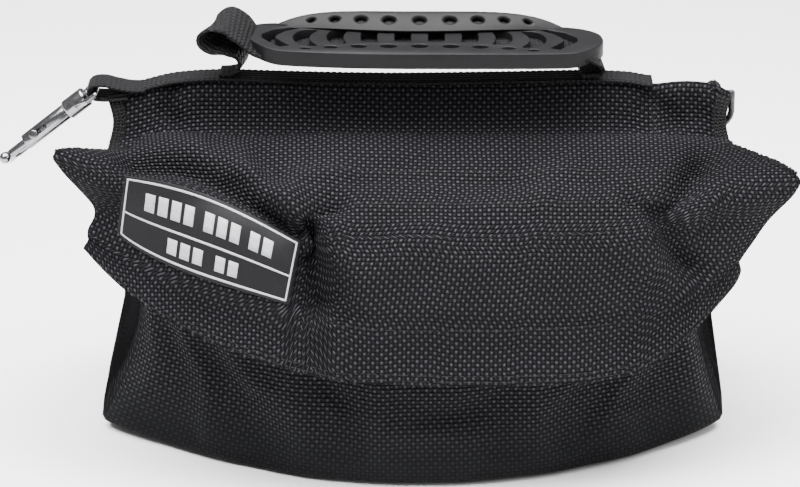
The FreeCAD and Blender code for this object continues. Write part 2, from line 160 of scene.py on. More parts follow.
# A closed profile (across, out) carried along a path; side is the across direction at each point.
def sweep(name, path, side, profile):
    path = np.asarray(path, float)
    ahead = unit(np.gradient(path, axis=0))
    side = unit(side - ahead * (side * ahead).sum(axis=1, keepdims=True))
    out = np.cross(ahead, side)
    profile = np.asarray(profile, float)
    if profile.ndim == 2:
        profile = np.repeat(profile[None], len(path), axis=0)
    rings = path[:, None] + side[:, None] * profile[..., :1] + out[:, None] * profile[..., 1:]
    rows, columns = rings.shape[:2]
    faces = gridFaces(rows, columns, wrapColumns=True).tolist()
    faces.append(list(range(columns))[::-1])
    faces.append(list(range((rows - 1) * columns, rows * columns)))
    around = np.linalg.norm(np.diff(np.concatenate([profile, profile[:, :1]], axis=1), axis=1), axis=2)
    along = np.concatenate([[0], np.cumsum(np.linalg.norm(np.diff(path, axis=0), axis=1))])
    u = np.cumsum(around, axis=1) - around
    v = np.repeat(along[:, None], columns, axis=1)
    piece = makeMesh(name, rings, faces, np.stack([u, v], axis=2))
    fixNormals(piece)
    return piece


def fixNormals(piece):
    work = bmesh.new()
    work.from_mesh(piece.data)
    bmesh.ops.remove_doubles(work, verts=work.verts, dist=1e-6)
    bmesh.ops.recalc_face_normals(work, faces=work.faces)
    work.to_mesh(piece.data)
    work.free()


# Section of a strap: a rounded oblong, from a superellipse.
def bandProfile(width, thick, count=16, power=4.0):
    a = np.linspace(0, 2 * np.pi, count, endpoint=False)
    c, s = np.cos(a), np.sin(a)
    x = np.sign(c) * np.abs(c) ** (2 / power) * width / 2
    y = np.sign(s) * np.abs(s) ** (2 / power) * thick / 2
    return np.stack([x, y], axis=1)


def readPoints(piece):
    flat = np.empty(len(piece.data.vertices) * 3)
    piece.data.vertices.foreach_get("co", flat)
    return flat.reshape(-1, 3)


def writePoints(piece, points):
    piece.data.vertices.foreach_set("co", points.ravel())
    piece.data.update()


def dress(piece, material):
    piece.data.materials.clear()
    piece.data.materials.append(material)


def joinPieces(name, pieces):
    for other in bpy.context.selected_objects:
        other.select_set(False)
    for piece in pieces:
        piece.select_set(True)
    bpy.context.view_layer.objects.active = pieces[0]
    bpy.ops.object.join()
    pieces[0].name = name
    pieces[0].data.name = name
    return pieces[0]


# The same piece on the back pouch: y turned round, faces turned back to point outwards.
def mirrorPiece(piece, name):
    twin = bpy.data.objects.new(name, piece.data.copy())
    twin.data.name = name
    bpy.context.scene.collection.objects.link(twin)
    writePoints(twin, readPoints(twin) * (1, -1, 1))
    twin.data.flip_normals()
    twin.data.update()
    return twin


# The back flap's corners lie close to the pouch: what reaches past its side is drawn in and down.
def tuckCorners(piece):
    co = readPoints(piece)
    out = np.maximum(np.abs(co[:, 0] - bagMiddle) - 0.160, 0)
    co[:, 0] -= np.sign(co[:, 0] - bagMiddle) * out * 0.72
    co[:, 2] -= out * 0.35
    writePoints(piece, co)


# 0 to 1 and back to 0 over t from 0 to 1.
def bump01(t):
    return np.sin(np.pi * np.clip(t, 0, 1))


def smoothStep(a, b, x):
    t = np.clip((x - a) / (b - a), 0, 1)
    return t * t * (3 - 2 * t)


# Low irregular relief: a sum of plane waves with seeded directions and lengths.
def waves(x, z, seed, scale, count=10):
    rng = np.random.default_rng(seed)
    total = np.zeros_like(x)
    for _ in range(count):
        angle = rng.uniform(0, np.pi)
        length = scale * rng.uniform(0.6, 1.8)
        phase = rng.uniform(0, 2 * np.pi)
        total += np.sin(2 * np.pi * (x * np.cos(angle) + z * np.sin(angle)) / length + phase)
    return total / math.sqrt(count)


# sRGB hex to linear red, green, blue and one
def hexLinear(code):
    values = [int(code[i:i + 2], 16) / 255 for i in (1, 3, 5)]
    return [v / 12.92 if v <= 0.04045 else ((v + 0.055) / 1.055) ** 2.4 for v in values] + [1.0]


# Sets a node's inputs and properties by name. A value that is a node or a socket is linked in, and a
# ramp is pairs of place and colour.
def setNode(tree, node, given):
    for key, value in given.items():
        if isinstance(value, bpy.types.Node):
            value = value.outputs[0]
        if isinstance(value, bpy.types.NodeSocket):
            tree.links.new(value, node.inputs[key])
        elif key == "ramp":
            for element, (place, code) in zip(node.color_ramp.elements, value):
                element.position, element.color = place, hexLinear(code)
        elif isinstance(key, int) or key in node.inputs:
            node.inputs[key].default_value = value
        else:
            setattr(node, key, value)
    return node


# Adds a node with its settings; what is fed goes to its inputs in order.
def addNode(tree, kind, given, *fed):
    node = setNode(tree, tree.nodes.new("ShaderNode" + kind), given)
    return setNode(tree, node, dict(enumerate(fed)))


def newMaterial(name, given):
    material = bpy.data.materials.new(name)
    material.use_nodes = True
    tree = material.node_tree
    return material, tree, setNode(tree, tree.nodes["Principled BSDF"], given)


times, plus, minus = ({"operation": name} for name in ("MULTIPLY", "ADD", "SUBTRACT"))
larger, power, sine, cosine = ({"operation": name} for name in ("MAXIMUM", "POWER", "SINE", "COSINE"))

weave = {
    "wander": 0.35,         # share of the period by which threads stray
    "weftHeight": 0.55,     # the weft's floats stand lower than the warp's
    "foot": (0.006, 0.06),  # metres above the ground between which the colour goes from painted shade, with a flatter weave, to full tone
    # the mask's value at the ground: painted shade on the colour, and a flatter weave
    "footShadeAndFlatLevel": 0.1,
}


# Nylon basket weave: warp and weft floats take turns on top, as the product of two sines, and each is
# a small raised pillow. The grey points on black are painted highlights on the raised crowns, and near
# the ground the colour is darkened as painted shade and the weave flattened.
def basketWeave(name, period, dark, light, depth):
    material, tree, shader = newMaterial(name, {"Specular IOR Level": 0.08})
    cloth = addNode(tree, "UVMap", {"uv_map": "cloth"})
    level = addNode(tree, "SeparateXYZ", {}, addNode(tree, "TexCoord", {}).outputs["Object"])
    low, high = weave["foot"]
    # 1 above the foot and low at the ground: it darkens the colour as painted shade and flattens the weave
    clearOfFootShadeAndFlat = addNode(tree, "MapRange", {
        "interpolation_type": "SMOOTHSTEP", "From Min": low, "From Max": high, "To Min": weave["footShadeAndFlatLevel"],
        "To Max": 1.0, "Value": level.outputs["Z"]})
    wander = addNode(tree, "TexNoise", {"Scale": 35.0, "Detail": 2.0, "Vector": cloth})
    shift = addNode(tree, "VectorMath", {"operation": "SCALE", "Scale": period * weave["wander"]},
                    wander.outputs["Color"])
    split = addNode(tree, "SeparateXYZ", {}, addNode(tree, "VectorMath", plus, cloth, shift))
    waveU, waveV = (addNode(tree, "Math", sine, addNode(tree, "Math", times, split.outputs[axis],
                                                        math.pi / period * 2)) for axis in "XY")
    floats = addNode(tree, "Math", times, waveU, waveV)
    warp = addNode(tree, "Math", larger, floats, 0.0)
    under = addNode(tree, "Math", larger, addNode(tree, "Math", times, floats, -1.0), 0.0)
    weft = addNode(tree, "Math", times, under, weave["weftHeight"])
    height = addNode(tree, "Math", power, addNode(tree, "Math", plus, warp, weft), 0.7)
    threads = addNode(tree, "TexNoise", {"Scale": 3.0 / period, "Detail": 3.0, "Vector": cloth})
    lift = addNode(tree, "Math", plus, height, addNode(tree, "Math", times, threads, 0.45))
    wear = addNode(tree, "TexNoise", {"Scale": 14.0, "Detail": 4.0, "Vector": cloth})
    # the raised crowns of the floats are painted lighter: painted highlights on the threads
    crownHighlight = addNode(tree, "Math", plus, addNode(tree, "Math", power, warp, 1.3),
                    addNode(tree, "Math", times, weft, 0.35))
    tone = addNode(tree, "Math", times, crownHighlight, addNode(tree, "Math", plus, wear, 0.55))
    # near the ground the tone is drawn down towards dark: painted shade at the foot
    footShadeTone = addNode(tree, "Math", times, addNode(tree, "Math", minus, 1.0, clearOfFootShadeAndFlat), 0.1)
    tone = addNode(tree, "Math", plus, addNode(tree, "Math", times, tone, clearOfFootShadeAndFlat), footShadeTone)
    setNode(tree, shader, {
        "Base Color": addNode(tree, "ValToRGB", {"ramp": ((0.05, dark), (0.85, light))}, tone),
        "Roughness": addNode(tree, "Math", minus, 0.85, addNode(tree, "Math", times, height, 0.4)),
        "Normal": addNode(tree, "Bump", {"Strength": 1.0, "Distance": depth,
                                         "Height": addNode(tree, "Math", times, lift, clearOfFootShadeAndFlat)})})
    return material


# Heavy nylon webbing: herringbone ribs along its length, as one sine slanted by another, with a dull
# shine painted into the colour of each rib, lighter where it stands higher.
def ribbedWebbing(name, rib, dark, light, depth):
    material, tree, shader = newMaterial(name, {"Roughness": 0.6, "Specular IOR Level": 0.15})
    cloth = addNode(tree, "UVMap", {"uv_map": "cloth"})
    split = addNode(tree, "SeparateXYZ", {}, cloth)
    u = addNode(tree, "Math", times, split.outputs["X"], 2 * math.pi / rib)
    v = addNode(tree, "Math", times, split.outputs["Y"], 2 * math.pi / (rib * 0.8))
    slant = addNode(tree, "Math", times, addNode(tree, "Math", sine, u), 1.2)
    threads = addNode(tree, "Math", sine, addNode(tree, "Math", plus, v, slant))
    height = addNode(tree, "Math", plus, addNode(tree, "Math", times, threads, 0.35),
                     addNode(tree, "Math", times, addNode(tree, "Math", cosine, u), 0.4))
    fuzz = addNode(tree, "TexNoise", {"Scale": 1400.0, "Detail": 3.0, "Vector": cloth})
    height = addNode(tree, "Math", plus, height, addNode(tree, "Math", times, fuzz, 0.7))
    # raised parts of the ribs are painted lighter: a painted highlight on each rib
    tone = addNode(tree, "Math", plus, addNode(tree, "Math", times, height, 0.4), 0.3)
    setNode(tree, shader, {
        "Base Color": addNode(tree, "ValToRGB", {"ramp": ((0.0, dark), (1.0, light))}, tone),
        "Normal": addNode(tree, "Bump", {"Strength": 0.9, "Distance": depth, "Height": height})})
    return material


# A solid material from its settings, with what varies over it: a noise for wear, which moves the
# colour and the roughness, and a grain for the bump.
def solidMaterial(name, look):
    material, tree, shader = newMaterial(name, look["set"])
    place = addNode(tree, "TexCoord", {}).outputs["Object"]
    for key, part in look.items():
        if key == "set":
            continue
        noise = addNode(tree, part.get("kind", "TexNoise"), dict(part["noise"], Vector=place))
        if "ramp" in part:
            setNode(tree, shader, {"Base Color": addNode(tree, "ValToRGB", {"ramp": part["ramp"]}, noise)})
        if "rough" in part:
            spread, least = part["rough"]
            setNode(tree, shader, {"Roughness": addNode(
                tree, "Math", plus, addNode(tree, "Math", times, noise, spread), least)})
        if "bump" in part:
            strength, distance = part["bump"]
            setNode(tree, shader, {"Normal": addNode(
                tree, "Bump", {"Strength": strength, "Distance": distance, "Height": noise})})
    return material


# Woven satin patch: very fine thread, smoother and slightly shinier than the bag.
def satinLabel():
    material, tree, shader = newMaterial("satin weave polyester", {
        "Roughness": 0.6, "Specular IOR Level": 0.14})
    stretch = addNode(tree, "Mapping", {"Scale": (600.0, 2600.0, 1.0),
                                        "Vector": addNode(tree, "UVMap", {"uv_map": "cloth"})})
    thread = addNode(tree, "TexNoise", {"Scale": 1.0, "Detail": 2.0, "Vector": stretch})
    setNode(tree, shader, {
        "Base Color": addNode(tree, "ValToRGB", {"ramp": ((0.3, "#0c0c0d"), (0.7, "#19191b"))}, thread),
        "Normal": addNode(tree, "Bump", {"Strength": 0.3, "Distance": 0.00015, "Height": thread})})
    return material


# The weave is drawn at 4.8 mm a repeat, about twice the real one, because a finer one doesn't show.
nylon = basketWeave("ballistic nylon", 0.0048, "#060607", "#333237", 0.0013)
webbing = ribbedWebbing("nylon webbing", 0.0036, "#030304", "#19191b", 0.0011)
tape = ribbedWebbing("nylon binding tape", 0.0024, "#030303", "#161618", 0.0009)
satin = satinLabel()
# Thermoplastic rubber, moulded: a fine spark-eroded grain, even dark grey, soft highlights.
rubber = solidMaterial("moulded TPE rubber", {
    "set": {"Specular IOR Level": 0.18},
    "grain": {"noise": {"Scale": 2600.0, "Detail": 2.0}, "bump": (0.25, 0.0002)},
    "wear": {"noise": {"Scale": 60.0, "Detail": 5.0}, "ramp": ((0.3, "#0c0c0d"), (0.75, "#131315")),
             "rough": (0.2, 0.42)}})
# Nickel-plated die-cast zinc: bright, slightly rippled casting, faint rubbed marks.
zinc = solidMaterial("nickel plated zinc", {
    "set": {"Metallic": 1.0},
    "rub": {"noise": {"Scale": 420.0, "Detail": 4.0}, "ramp": ((0.3, "#7d7d80"), (0.7, "#8f8f92")),
            "rough": (0.16, 0.14), "bump": (0.1, 0.0002)}})
# Dark grey coated steel wire: smooth, half gloss, with fine wear to brighter metal.
darkWire = solidMaterial("gunmetal coated steel", {
    "set": {"Metallic": 0.6},
    "rub": {"noise": {"Scale": 300.0, "Detail": 4.0}, "ramp": ((0.45, "#303032"), (0.75, "#515154")),
            "rough": (0.25, 0.2)}})
# White screen ink on cloth: matt, a little broken where the threads show through.
ink = solidMaterial("white screen ink", {
    "set": {"Roughness": 0.7},
    "gap": {"noise": {"Scale": 1500.0, "Detail": 2.0}, "ramp": ((0.25, "#7f7f83"), (0.5, "#a9a9ad"))}})
# Bonded nylon thread: twisted, black, catches a thin line of light.
thread = solidMaterial("bonded nylon thread", {
    "set": {"Base Color": hexLinear("#0a0a0b"), "Roughness": 0.6, "Specular IOR Level": 0.25},
    "twist": {"noise": {"Scale": 3000.0}, "bump": (0.4, 0.0002)}})
# Polythene liner: pale, glossy, crinkled film.
linerFilm = solidMaterial("polythene film", {
    "set": {"Base Color": hexLinear("#c9ccd0"), "Roughness": 0.25},
    "crinkle": {"noise": {"Scale": 60.0, "Detail": 4.0}, "bump": (0.5, 0.001)}})
# Dry silica sand: pale tan grains under a millimetre across.
drySand = solidMaterial("dry silica sand", {
    "set": {"Roughness": 0.95},
    "grain": {"kind": "TexVoronoi", "noise": {"Scale": 1600.0},
              "ramp": ((0.0, "#8d7650"), (1.0, "#d8c49a")), "bump": (0.8, 0.0005)}})
# Hook and loop tape: a dense black pile of tiny loops.
hookLoopCloth = solidMaterial("hook and loop nylon", {
    "set": {"Roughness": 0.9},
    "pile": {"kind": "TexVoronoi", "noise": {"Scale": 900.0},
             "ramp": ((0.0, "#2c2c30"), (0.7, "#0c0c0d")), "bump": (1.0, 0.0006)}})
# Bright drawn spring wire, seen through the slot: rings of light and dark.
springSteel = solidMaterial("spring steel", {
    "set": {"Base Color": hexLinear("#8b8b8e"), "Metallic": 1.0, "Roughness": 0.3},
    "coil": {"noise": {"Scale": 900.0}, "bump": (0.4, 0.0003)}})
print("materials made")


def finishPiece(piece, body, material):
    dress(piece, material)
    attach(piece, body)
    return piece


camera = {
    "elevation": 22.0,       # degrees above level
    "distance": 2000.0,      # millimetres to the front of the bag
    "aim": (-11.0, -60.0, 130.6),
    "focal": 162.0,
    "sensor": 36.0,
}


def addCamera(c):
    data = bpy.data.cameras.new("camera")
    data.lens = c["focal"]
    data.sensor_width = c["sensor"]
    data.clip_end = 20
    item = bpy.data.objects.new("camera", data)
    bpy.context.scene.collection.objects.link(item)
    tilt = math.radians(c["elevation"])
    aim = Vector(toWorld([c["aim"]])[0])
    back = Vector((0, -math.cos(tilt), math.sin(tilt)))
    item.location = aim + back * c["distance"] * mm
    item.rotation_euler = (math.radians(90) - tilt, 0, 0)
    bpy.context.scene.camera = item


addCamera(camera)


viewUp = (0.375, 0.927)  # y and z shares of "up" as seen from the front, 22 degrees above level


def seenHeight(points):
    return points[..., 1] * viewUp[0] + points[..., 2] * viewUp[1]


# Unit normals that point away from the bag: across the rows times down the columns.
def gridNormals(grid):
    return unit(np.cross(np.gradient(grid, axis=0), np.gradient(grid, axis=1)))


# Distance from each (x, s) to a line through points, with its sign (positive above), and how far along.
def distanceToLine(x, s, line):
    best = np.full(x.shape, 1e9)
    sign = np.ones(x.shape)
    along = np.zeros(x.shape)
    line = np.asarray(line, float)
    total = len(line) - 1
    for i in range(total):
        a, b = line[i], line[i + 1]
        d = b - a
        t = np.clip(((x - a[0]) * d[0] + (s - a[1]) * d[1]) / (d @ d), 0, 1)
        px, ps = x - a[0] - t * d[0], s - a[1] - t * d[1]
        distance = np.hypot(px, ps)
        near = distance < best
        best = np.where(near, distance, best)
        sign = np.where(near, np.sign(d[0] * ps - d[1] * px), sign)
        along = np.where(near, (i + t) / total, along)
    return best, sign, along


# Pushes a grid in and out along its normals. A fold is a line as seen from the front, a depth
# (negative goes in), a width, and a lean: the side above the line rises and the side below sinks by it.
# Folds die out over a margin at the grid's side edges, so its outline stays calm.
def foldedGrid(grid, folds, margin=0.0):
    out = grid.copy()
    place = np.linspace(0, 1, grid.shape[1])
    calm = smoothStep(0, margin, np.minimum(place, 1 - place)) if margin else np.ones(len(place))
    for fold in folds:
        normals = gridNormals(out)
        x, s = out[..., 0], seenHeight(out)
        line = curve(fold["line"], 4 * len(fold["line"])) if len(fold["line"]) > 2 else fold["line"]
        distance, sign, along = distanceToLine(x, s, line)
        fade = np.minimum(1, np.minimum(along, 1 - along) / fold.get("fade", 0.25) + fold.get("ends", 0.0))
        fade = np.clip(fade, 0, 1)
        t = distance / fold["width"]
        amount = fold["depth"] * np.exp(-t ** 2) + fold.get("lean", 0) * sign * t * np.exp(-t ** 1.5) * 1.6
        out = out + normals * (amount * fade * calm)[..., None]
    return out


# A row of stitches: each a short thread capsule laid along the line and sunk half into the cloth.
def stitchRow(name, line, outward, body, every=3.4, length=2.5, radius=0.32):
    line = np.asarray(line, float)
    steps = np.linalg.norm(np.diff(line, axis=0), axis=1)
    run = np.concatenate([[0], np.cumsum(steps)])
    count = max(int(run[-1] / every), 2)
    at = (np.arange(count) + 0.5) * run[-1] / count

    def pick(values, where):
        return np.stack([np.interp(where, run, values[:, i]) for i in range(3)], axis=1)

    ahead = unit(pick(line, at + 0.6) - pick(line, at - 0.6))
    up = unit(pick(np.asarray(outward, float), at))
    side = np.cross(ahead, up)
    centre = pick(line, at)
    rings, around = 5, 6
    t = np.linspace(-1, 1, rings)
    fat = np.sqrt(np.clip(1 - t ** 4, 0.04, 1)) * radius
    a = np.linspace(0, 2 * np.pi, around, endpoint=False)
    pts = (centre[:, None, None] + ahead[:, None, None] * (t * length / 2)[None, :, None, None]
           + side[:, None, None] * (np.cos(a)[None, None, :, None] * fat[None, :, None, None])
           + up[:, None, None] * (np.sin(a)[None, None, :, None] * fat[None, :, None, None]))
    one = gridFaces(rings, around, wrapColumns=True)
    faces = [f for k in range(count) for f in (one + k * rings * around).tolist()]
    for k in range(count):
        base = k * rings * around
        faces.append(list(range(base, base + around)))
        faces.append(list(range(base + (rings - 1) * around, base + rings * around))[::-1])
    piece = makeMesh(name, toWorld(pts), faces)
    fixNormals(piece)
    piece.data.materials.append(thread)
    if body:
        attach(piece, body)
    return piece


# A line over a grid at a share of its rows or columns, with the normals along it.
def gridLine(grid, row=None, column=None, first=0.0, last=1.0, samples=240, lift=0.0):
    normals = gridNormals(grid)
    rows, columns = grid.shape[:2]
    t = np.linspace(first, last, samples)
    r = (np.full(samples, row) if row is not None else t) * (rows - 1)
    c = (np.full(samples, column) if column is not None else t) * (columns - 1)
    r0 = np.clip(r.astype(int), 0, rows - 2)
    c0 = np.clip(c.astype(int), 0, columns - 2)
    fr, fc = (r - r0)[:, None], (c - c0)[:, None]

    def mix(v):
        return ((v[r0, c0] * (1 - fc) + v[r0, c0 + 1] * fc) * (1 - fr)
                + (v[r0 + 1, c0] * (1 - fc) + v[r0 + 1, c0 + 1] * fc) * fr)

    up = unit(mix(normals))
    return mix(grid) + up * lift, up


pouch = {
    "halfWidth": 166.0,
    "depth": 103.0,
    "height": 176.0,
    "columns": 92,
    "around": 150,
    # upright section, front first: share of the depth, share of the height
    "section": [(0.05, 1.0), (0.15, 1.0), (0.36, 0.965), (0.60, 0.89), (0.80, 0.76), (0.92, 0.60),
                (0.97, 0.42), (0.99, 0.28), (0.985, 0.15), (0.96, 0.05), (0.87, 0.0), (0.45, 0.0),
                (0.10, 0.0), (0.01, 0.03), (0.0, 0.2), (0.0, 0.5), (0.0, 0.8), (0.01, 0.95)],
}


# Even arc-length samples of a smooth closed curve through knots.
def closedCurve(knots, samples):
    knots = np.asarray(knots, float)
    ring = np.concatenate([knots[-3:], knots, knots[:4]])
    fine = curve(ring, 40 * (len(ring) - 1) + 1)[3 * 40:-3 * 40]
    run = np.concatenate([[0], np.cumsum(np.linalg.norm(np.diff(fine, axis=0), axis=1))])
    at = np.linspace(0, run[-1], samples, endpoint=False)
    return np.stack([np.interp(at, run, fine[:, i]) for i in range(fine.shape[1])], axis=1)


# Pillow: the upright section thins towards both side seams, whose corners stand out as ears.
def pouchGrid(p):
    u = np.linspace(-1, 1, p["columns"])
    u = np.sign(u) * (1 - (1 - np.abs(u)) ** 1.12)
    full = np.clip(1 - u ** 2, 0, 1) ** 0.7
    depth = (4.0 + (p["depth"] - 4.0) * full)[None, :]
    section = closedCurve(np.array(p["section"]) * [p["depth"], p["height"]], p["around"])
    d, h = section[:, 0] / p["depth"], section[:, 1] / p["height"]
    d, h = d[:, None], h[:, None]
    # the side seam bows in at mid height, and its foot lifts a little off the ground
    bow = 9.0 * np.sin(np.pi * np.clip(h, 0, 1)) ** 1.5
    reach = p["halfWidth"] - bow * np.abs(u[None, :]) ** 6
    ear = np.where(u < 0, 20.0, 12.0) * np.abs(u) ** 9
    x = u[None, :] * reach + np.sign(u)[None, :] * ear[None, :] * (1 - h) ** 4
    seam = 9.0 * np.abs(u[None, :]) ** 3  # the seam sits this far in front of the back panel
    y = -(3.0 + seam + d * depth)
    z = h * p["height"] * (1 - 0.05 * np.abs(u[None, :]) ** 4)
    z = z + 6.0 * np.abs(u[None, :]) ** 5 * (1 - h) ** 2
    return np.stack([x, y, z], axis=-1)


# A closed mesh from the loop grid, with a thin face in each side seam.
def closePouch(name, grid):
    rows, columns = grid.shape[:2]
    faces = gridFaces(rows, columns, wrapRows=True)[:, ::-1].tolist()
    faces.append([r * columns for r in range(rows)])
    faces.append([r * columns + columns - 1 for r in range(rows)][::-1])
    ringSteps = np.linalg.norm(np.diff(grid, axis=0), axis=2).mean(axis=1)
    v = np.repeat(np.concatenate([[0], np.cumsum(ringSteps)])[:, None], columns, axis=1) * mm
    cell = np.linalg.norm(np.diff(grid, axis=1), axis=2).mean(axis=0)
    u = np.repeat((np.concatenate([[0], np.cumsum(cell)]) - cell.sum() / 2)[None], rows, axis=0) * mm
    piece = makeMesh(name, toWorld(grid), faces, np.stack([u, v], axis=2))
    return piece


# Sand pressure puffs the cloth out and wrinkles it at the seams; no point may travel over 8 mm.
def settlePouch(piece):
    start = readPoints(piece)
    cloth = piece.modifiers.new("cloth", "CLOTH")
    cloth.settings.quality = 6
    cloth.settings.mass = 0.3
    cloth.settings.use_pressure = True
    cloth.settings.uniform_pressure_force = 2.5
    pins = piece.vertex_groups.new(name="sewn")  # both side seams hold their line
    rows, columns = pouch["around"], pouch["columns"]
    column = np.arange(rows * columns) % columns
    sewn = np.where((column < 2) | (column > columns - 3))[0]
    pins.add(sewn.tolist(), 1.0, "REPLACE")
    cloth.settings.vertex_group_mass = "sewn"
    cloth.settings.tension_stiffness = 25
    cloth.settings.compression_stiffness = 25
    cloth.settings.bending_stiffness = 0.6
    cloth.settings.effector_weights.gravity = 0
    cloth.collision_settings.use_collision = False
    cloth.point_cache.frame_start = 1
    cloth.point_cache.frame_end = 14
    scene = bpy.context.scene
    for frameNumber in range(1, 15):
        scene.frame_set(frameNumber)
    applyModifiers(piece)
    move = readPoints(piece) - start
    far = np.linalg.norm(move, axis=1, keepdims=True)
    keep = np.minimum(1, 0.008 / np.maximum(far, 1e-9))
    co = start + move * keep
    co[:, 2] = np.maximum(co[:, 2], 0.0004)  # the ground
    co[:, 1] = np.minimum(co[:, 1], -0.0016)  # the other pouch
    writePoints(piece, co)
    scene.frame_set(1)


pouchFolds = [
    {"line": [(-150, 74), (-140, 40), (-128, 8)], "depth": -2.6, "width": 8, "lean": 1.2},
    {"line": [(-134, 60), (-112, 20), (-100, -12)], "depth": -2.2, "width": 9, "lean": 1.0},
    {"line": [(-60, 22), (-46, 10), (-38, 8)], "depth": -3.0, "width": 6},
    {"line": [(-104, 22), (-92, -8), (-84, -26)], "depth": -1.6, "width": 9},
    {"line": [(148, 60), (140, 30), (120, 4)], "depth": -2.4, "width": 9, "lean": -1.0},
    {"line": [(120, 30), (96, 8), (70, -10)], "depth": -1.6, "width": 10},
    {"line": [(60, 12), (20, 2), (-20, 6)], "depth": -1.2, "width": 8},
]


def buildPouch(side):
    grid = foldedGrid(pouchGrid(pouch), pouchFolds) if side == "front" else pouchGrid(pouch)
    relief = waves(grid[..., 0], grid[..., 2] + grid[..., 1], 11, 60.0) * 0.5
    grid = grid + gridNormals(grid) * relief[..., None]
    piece = closePouch("frontPouch", grid)
    settlePouch(piece)
    smoothOnce = piece.modifiers.new("smooth", "SUBSURF")
    smoothOnce.levels = 1
    smoothOnce.render_levels = 1
    applyModifiers(piece)
    return piece


frontPouch = buildPouch("front")
backPouch = mirrorPiece(frontPouch, "backPouch")
for piece, half in ((frontPouch, "front"), (backPouch, "back")):
    finishPiece(piece, half + "_pouch", nylon)
    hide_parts(half + "_pouch_shell")
print("pouches made")


# The liner and the sand in it: the finished pouch drawn in towards the middle of each section.
def buildInner(node, name, keep, material):
    piece = bpy.data.objects.new(name, frontPouch.data.copy())
    piece.data.name = name
    bpy.context.scene.collection.objects.link(piece)
    co = readPoints(piece)
    share = np.clip(np.abs(co[:, 0] - bagMiddle) / (pouch["halfWidth"] * mm), 0, 1)
    middle = -(3.0 + 9.0 * share ** 3 + 2.0 + 0.5 * pouch["depth"] * (1 - share ** 2) ** 0.7) * mm
    co[:, 0] = bagMiddle + (co[:, 0] - bagMiddle) * keep
    co[:, 1] = middle + (co[:, 1] - middle) * (keep - 0.36 * share ** 2)  # well clear of the thin ends
    co[:, 2] = 0.088 + (co[:, 2] - 0.088) * keep
    writePoints(piece, co)
    finishPiece(piece, "front_pouch", material)
    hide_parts("front_" + node)
    twin = mirrorPiece(piece, name.replace("front", "back"))
    finishPiece(twin, "back_pouch", material)
    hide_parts("back_" + node)


buildInner("liner_bag", "frontLiner", 0.93, linerFilm)
buildInner("sand_fill", "frontSand", 0.89, drySand)


cover = {
    "across": 190,
    "down": 120,
    "thickness": 1.6,
    "flare": 6.0,  # the hem stands this far off the pouch
    # from the crest down: left end, middle and right end of each row, in bag millimetres
    "rows": [
        [(-167, -14, 174), (0, -16, 179), (172, -18, 177)],
        [(-168, -28, 173), (0, -32, 181), (175, -30, 177)],
        [(-200, -48, 180), (0, -60, 169), (208, -41, 165)],
        [(-199, -51, 172), (0, -84, 158), (209, -45, 156)],
        [(-181, -55, 151), (0, -99, 137), (193, -50, 140)],
        [(-184, -60, 139), (0, -107, 112), (184, -55, 128)],
        [(-184, -61, 134), (0, -110, 91), (178, -59, 121)],
        [(-183, -62, 130), (0, -110.5, 70), (174, -60, 117)],
    ],
    # how square each row is: a high number keeps it straight until near its ends
    "square": [5.0, 5.0, 2.6, 2.4, 2.3, 2.4, 2.6, 2.8],
    # the hem's height at even steps from left to right
    "hem": [130, 112, 100, 91, 84, 78, 73.5, 71, 70, 69.5, 69, 68.5, 68, 67.5, 68, 76, 92, 117],
}

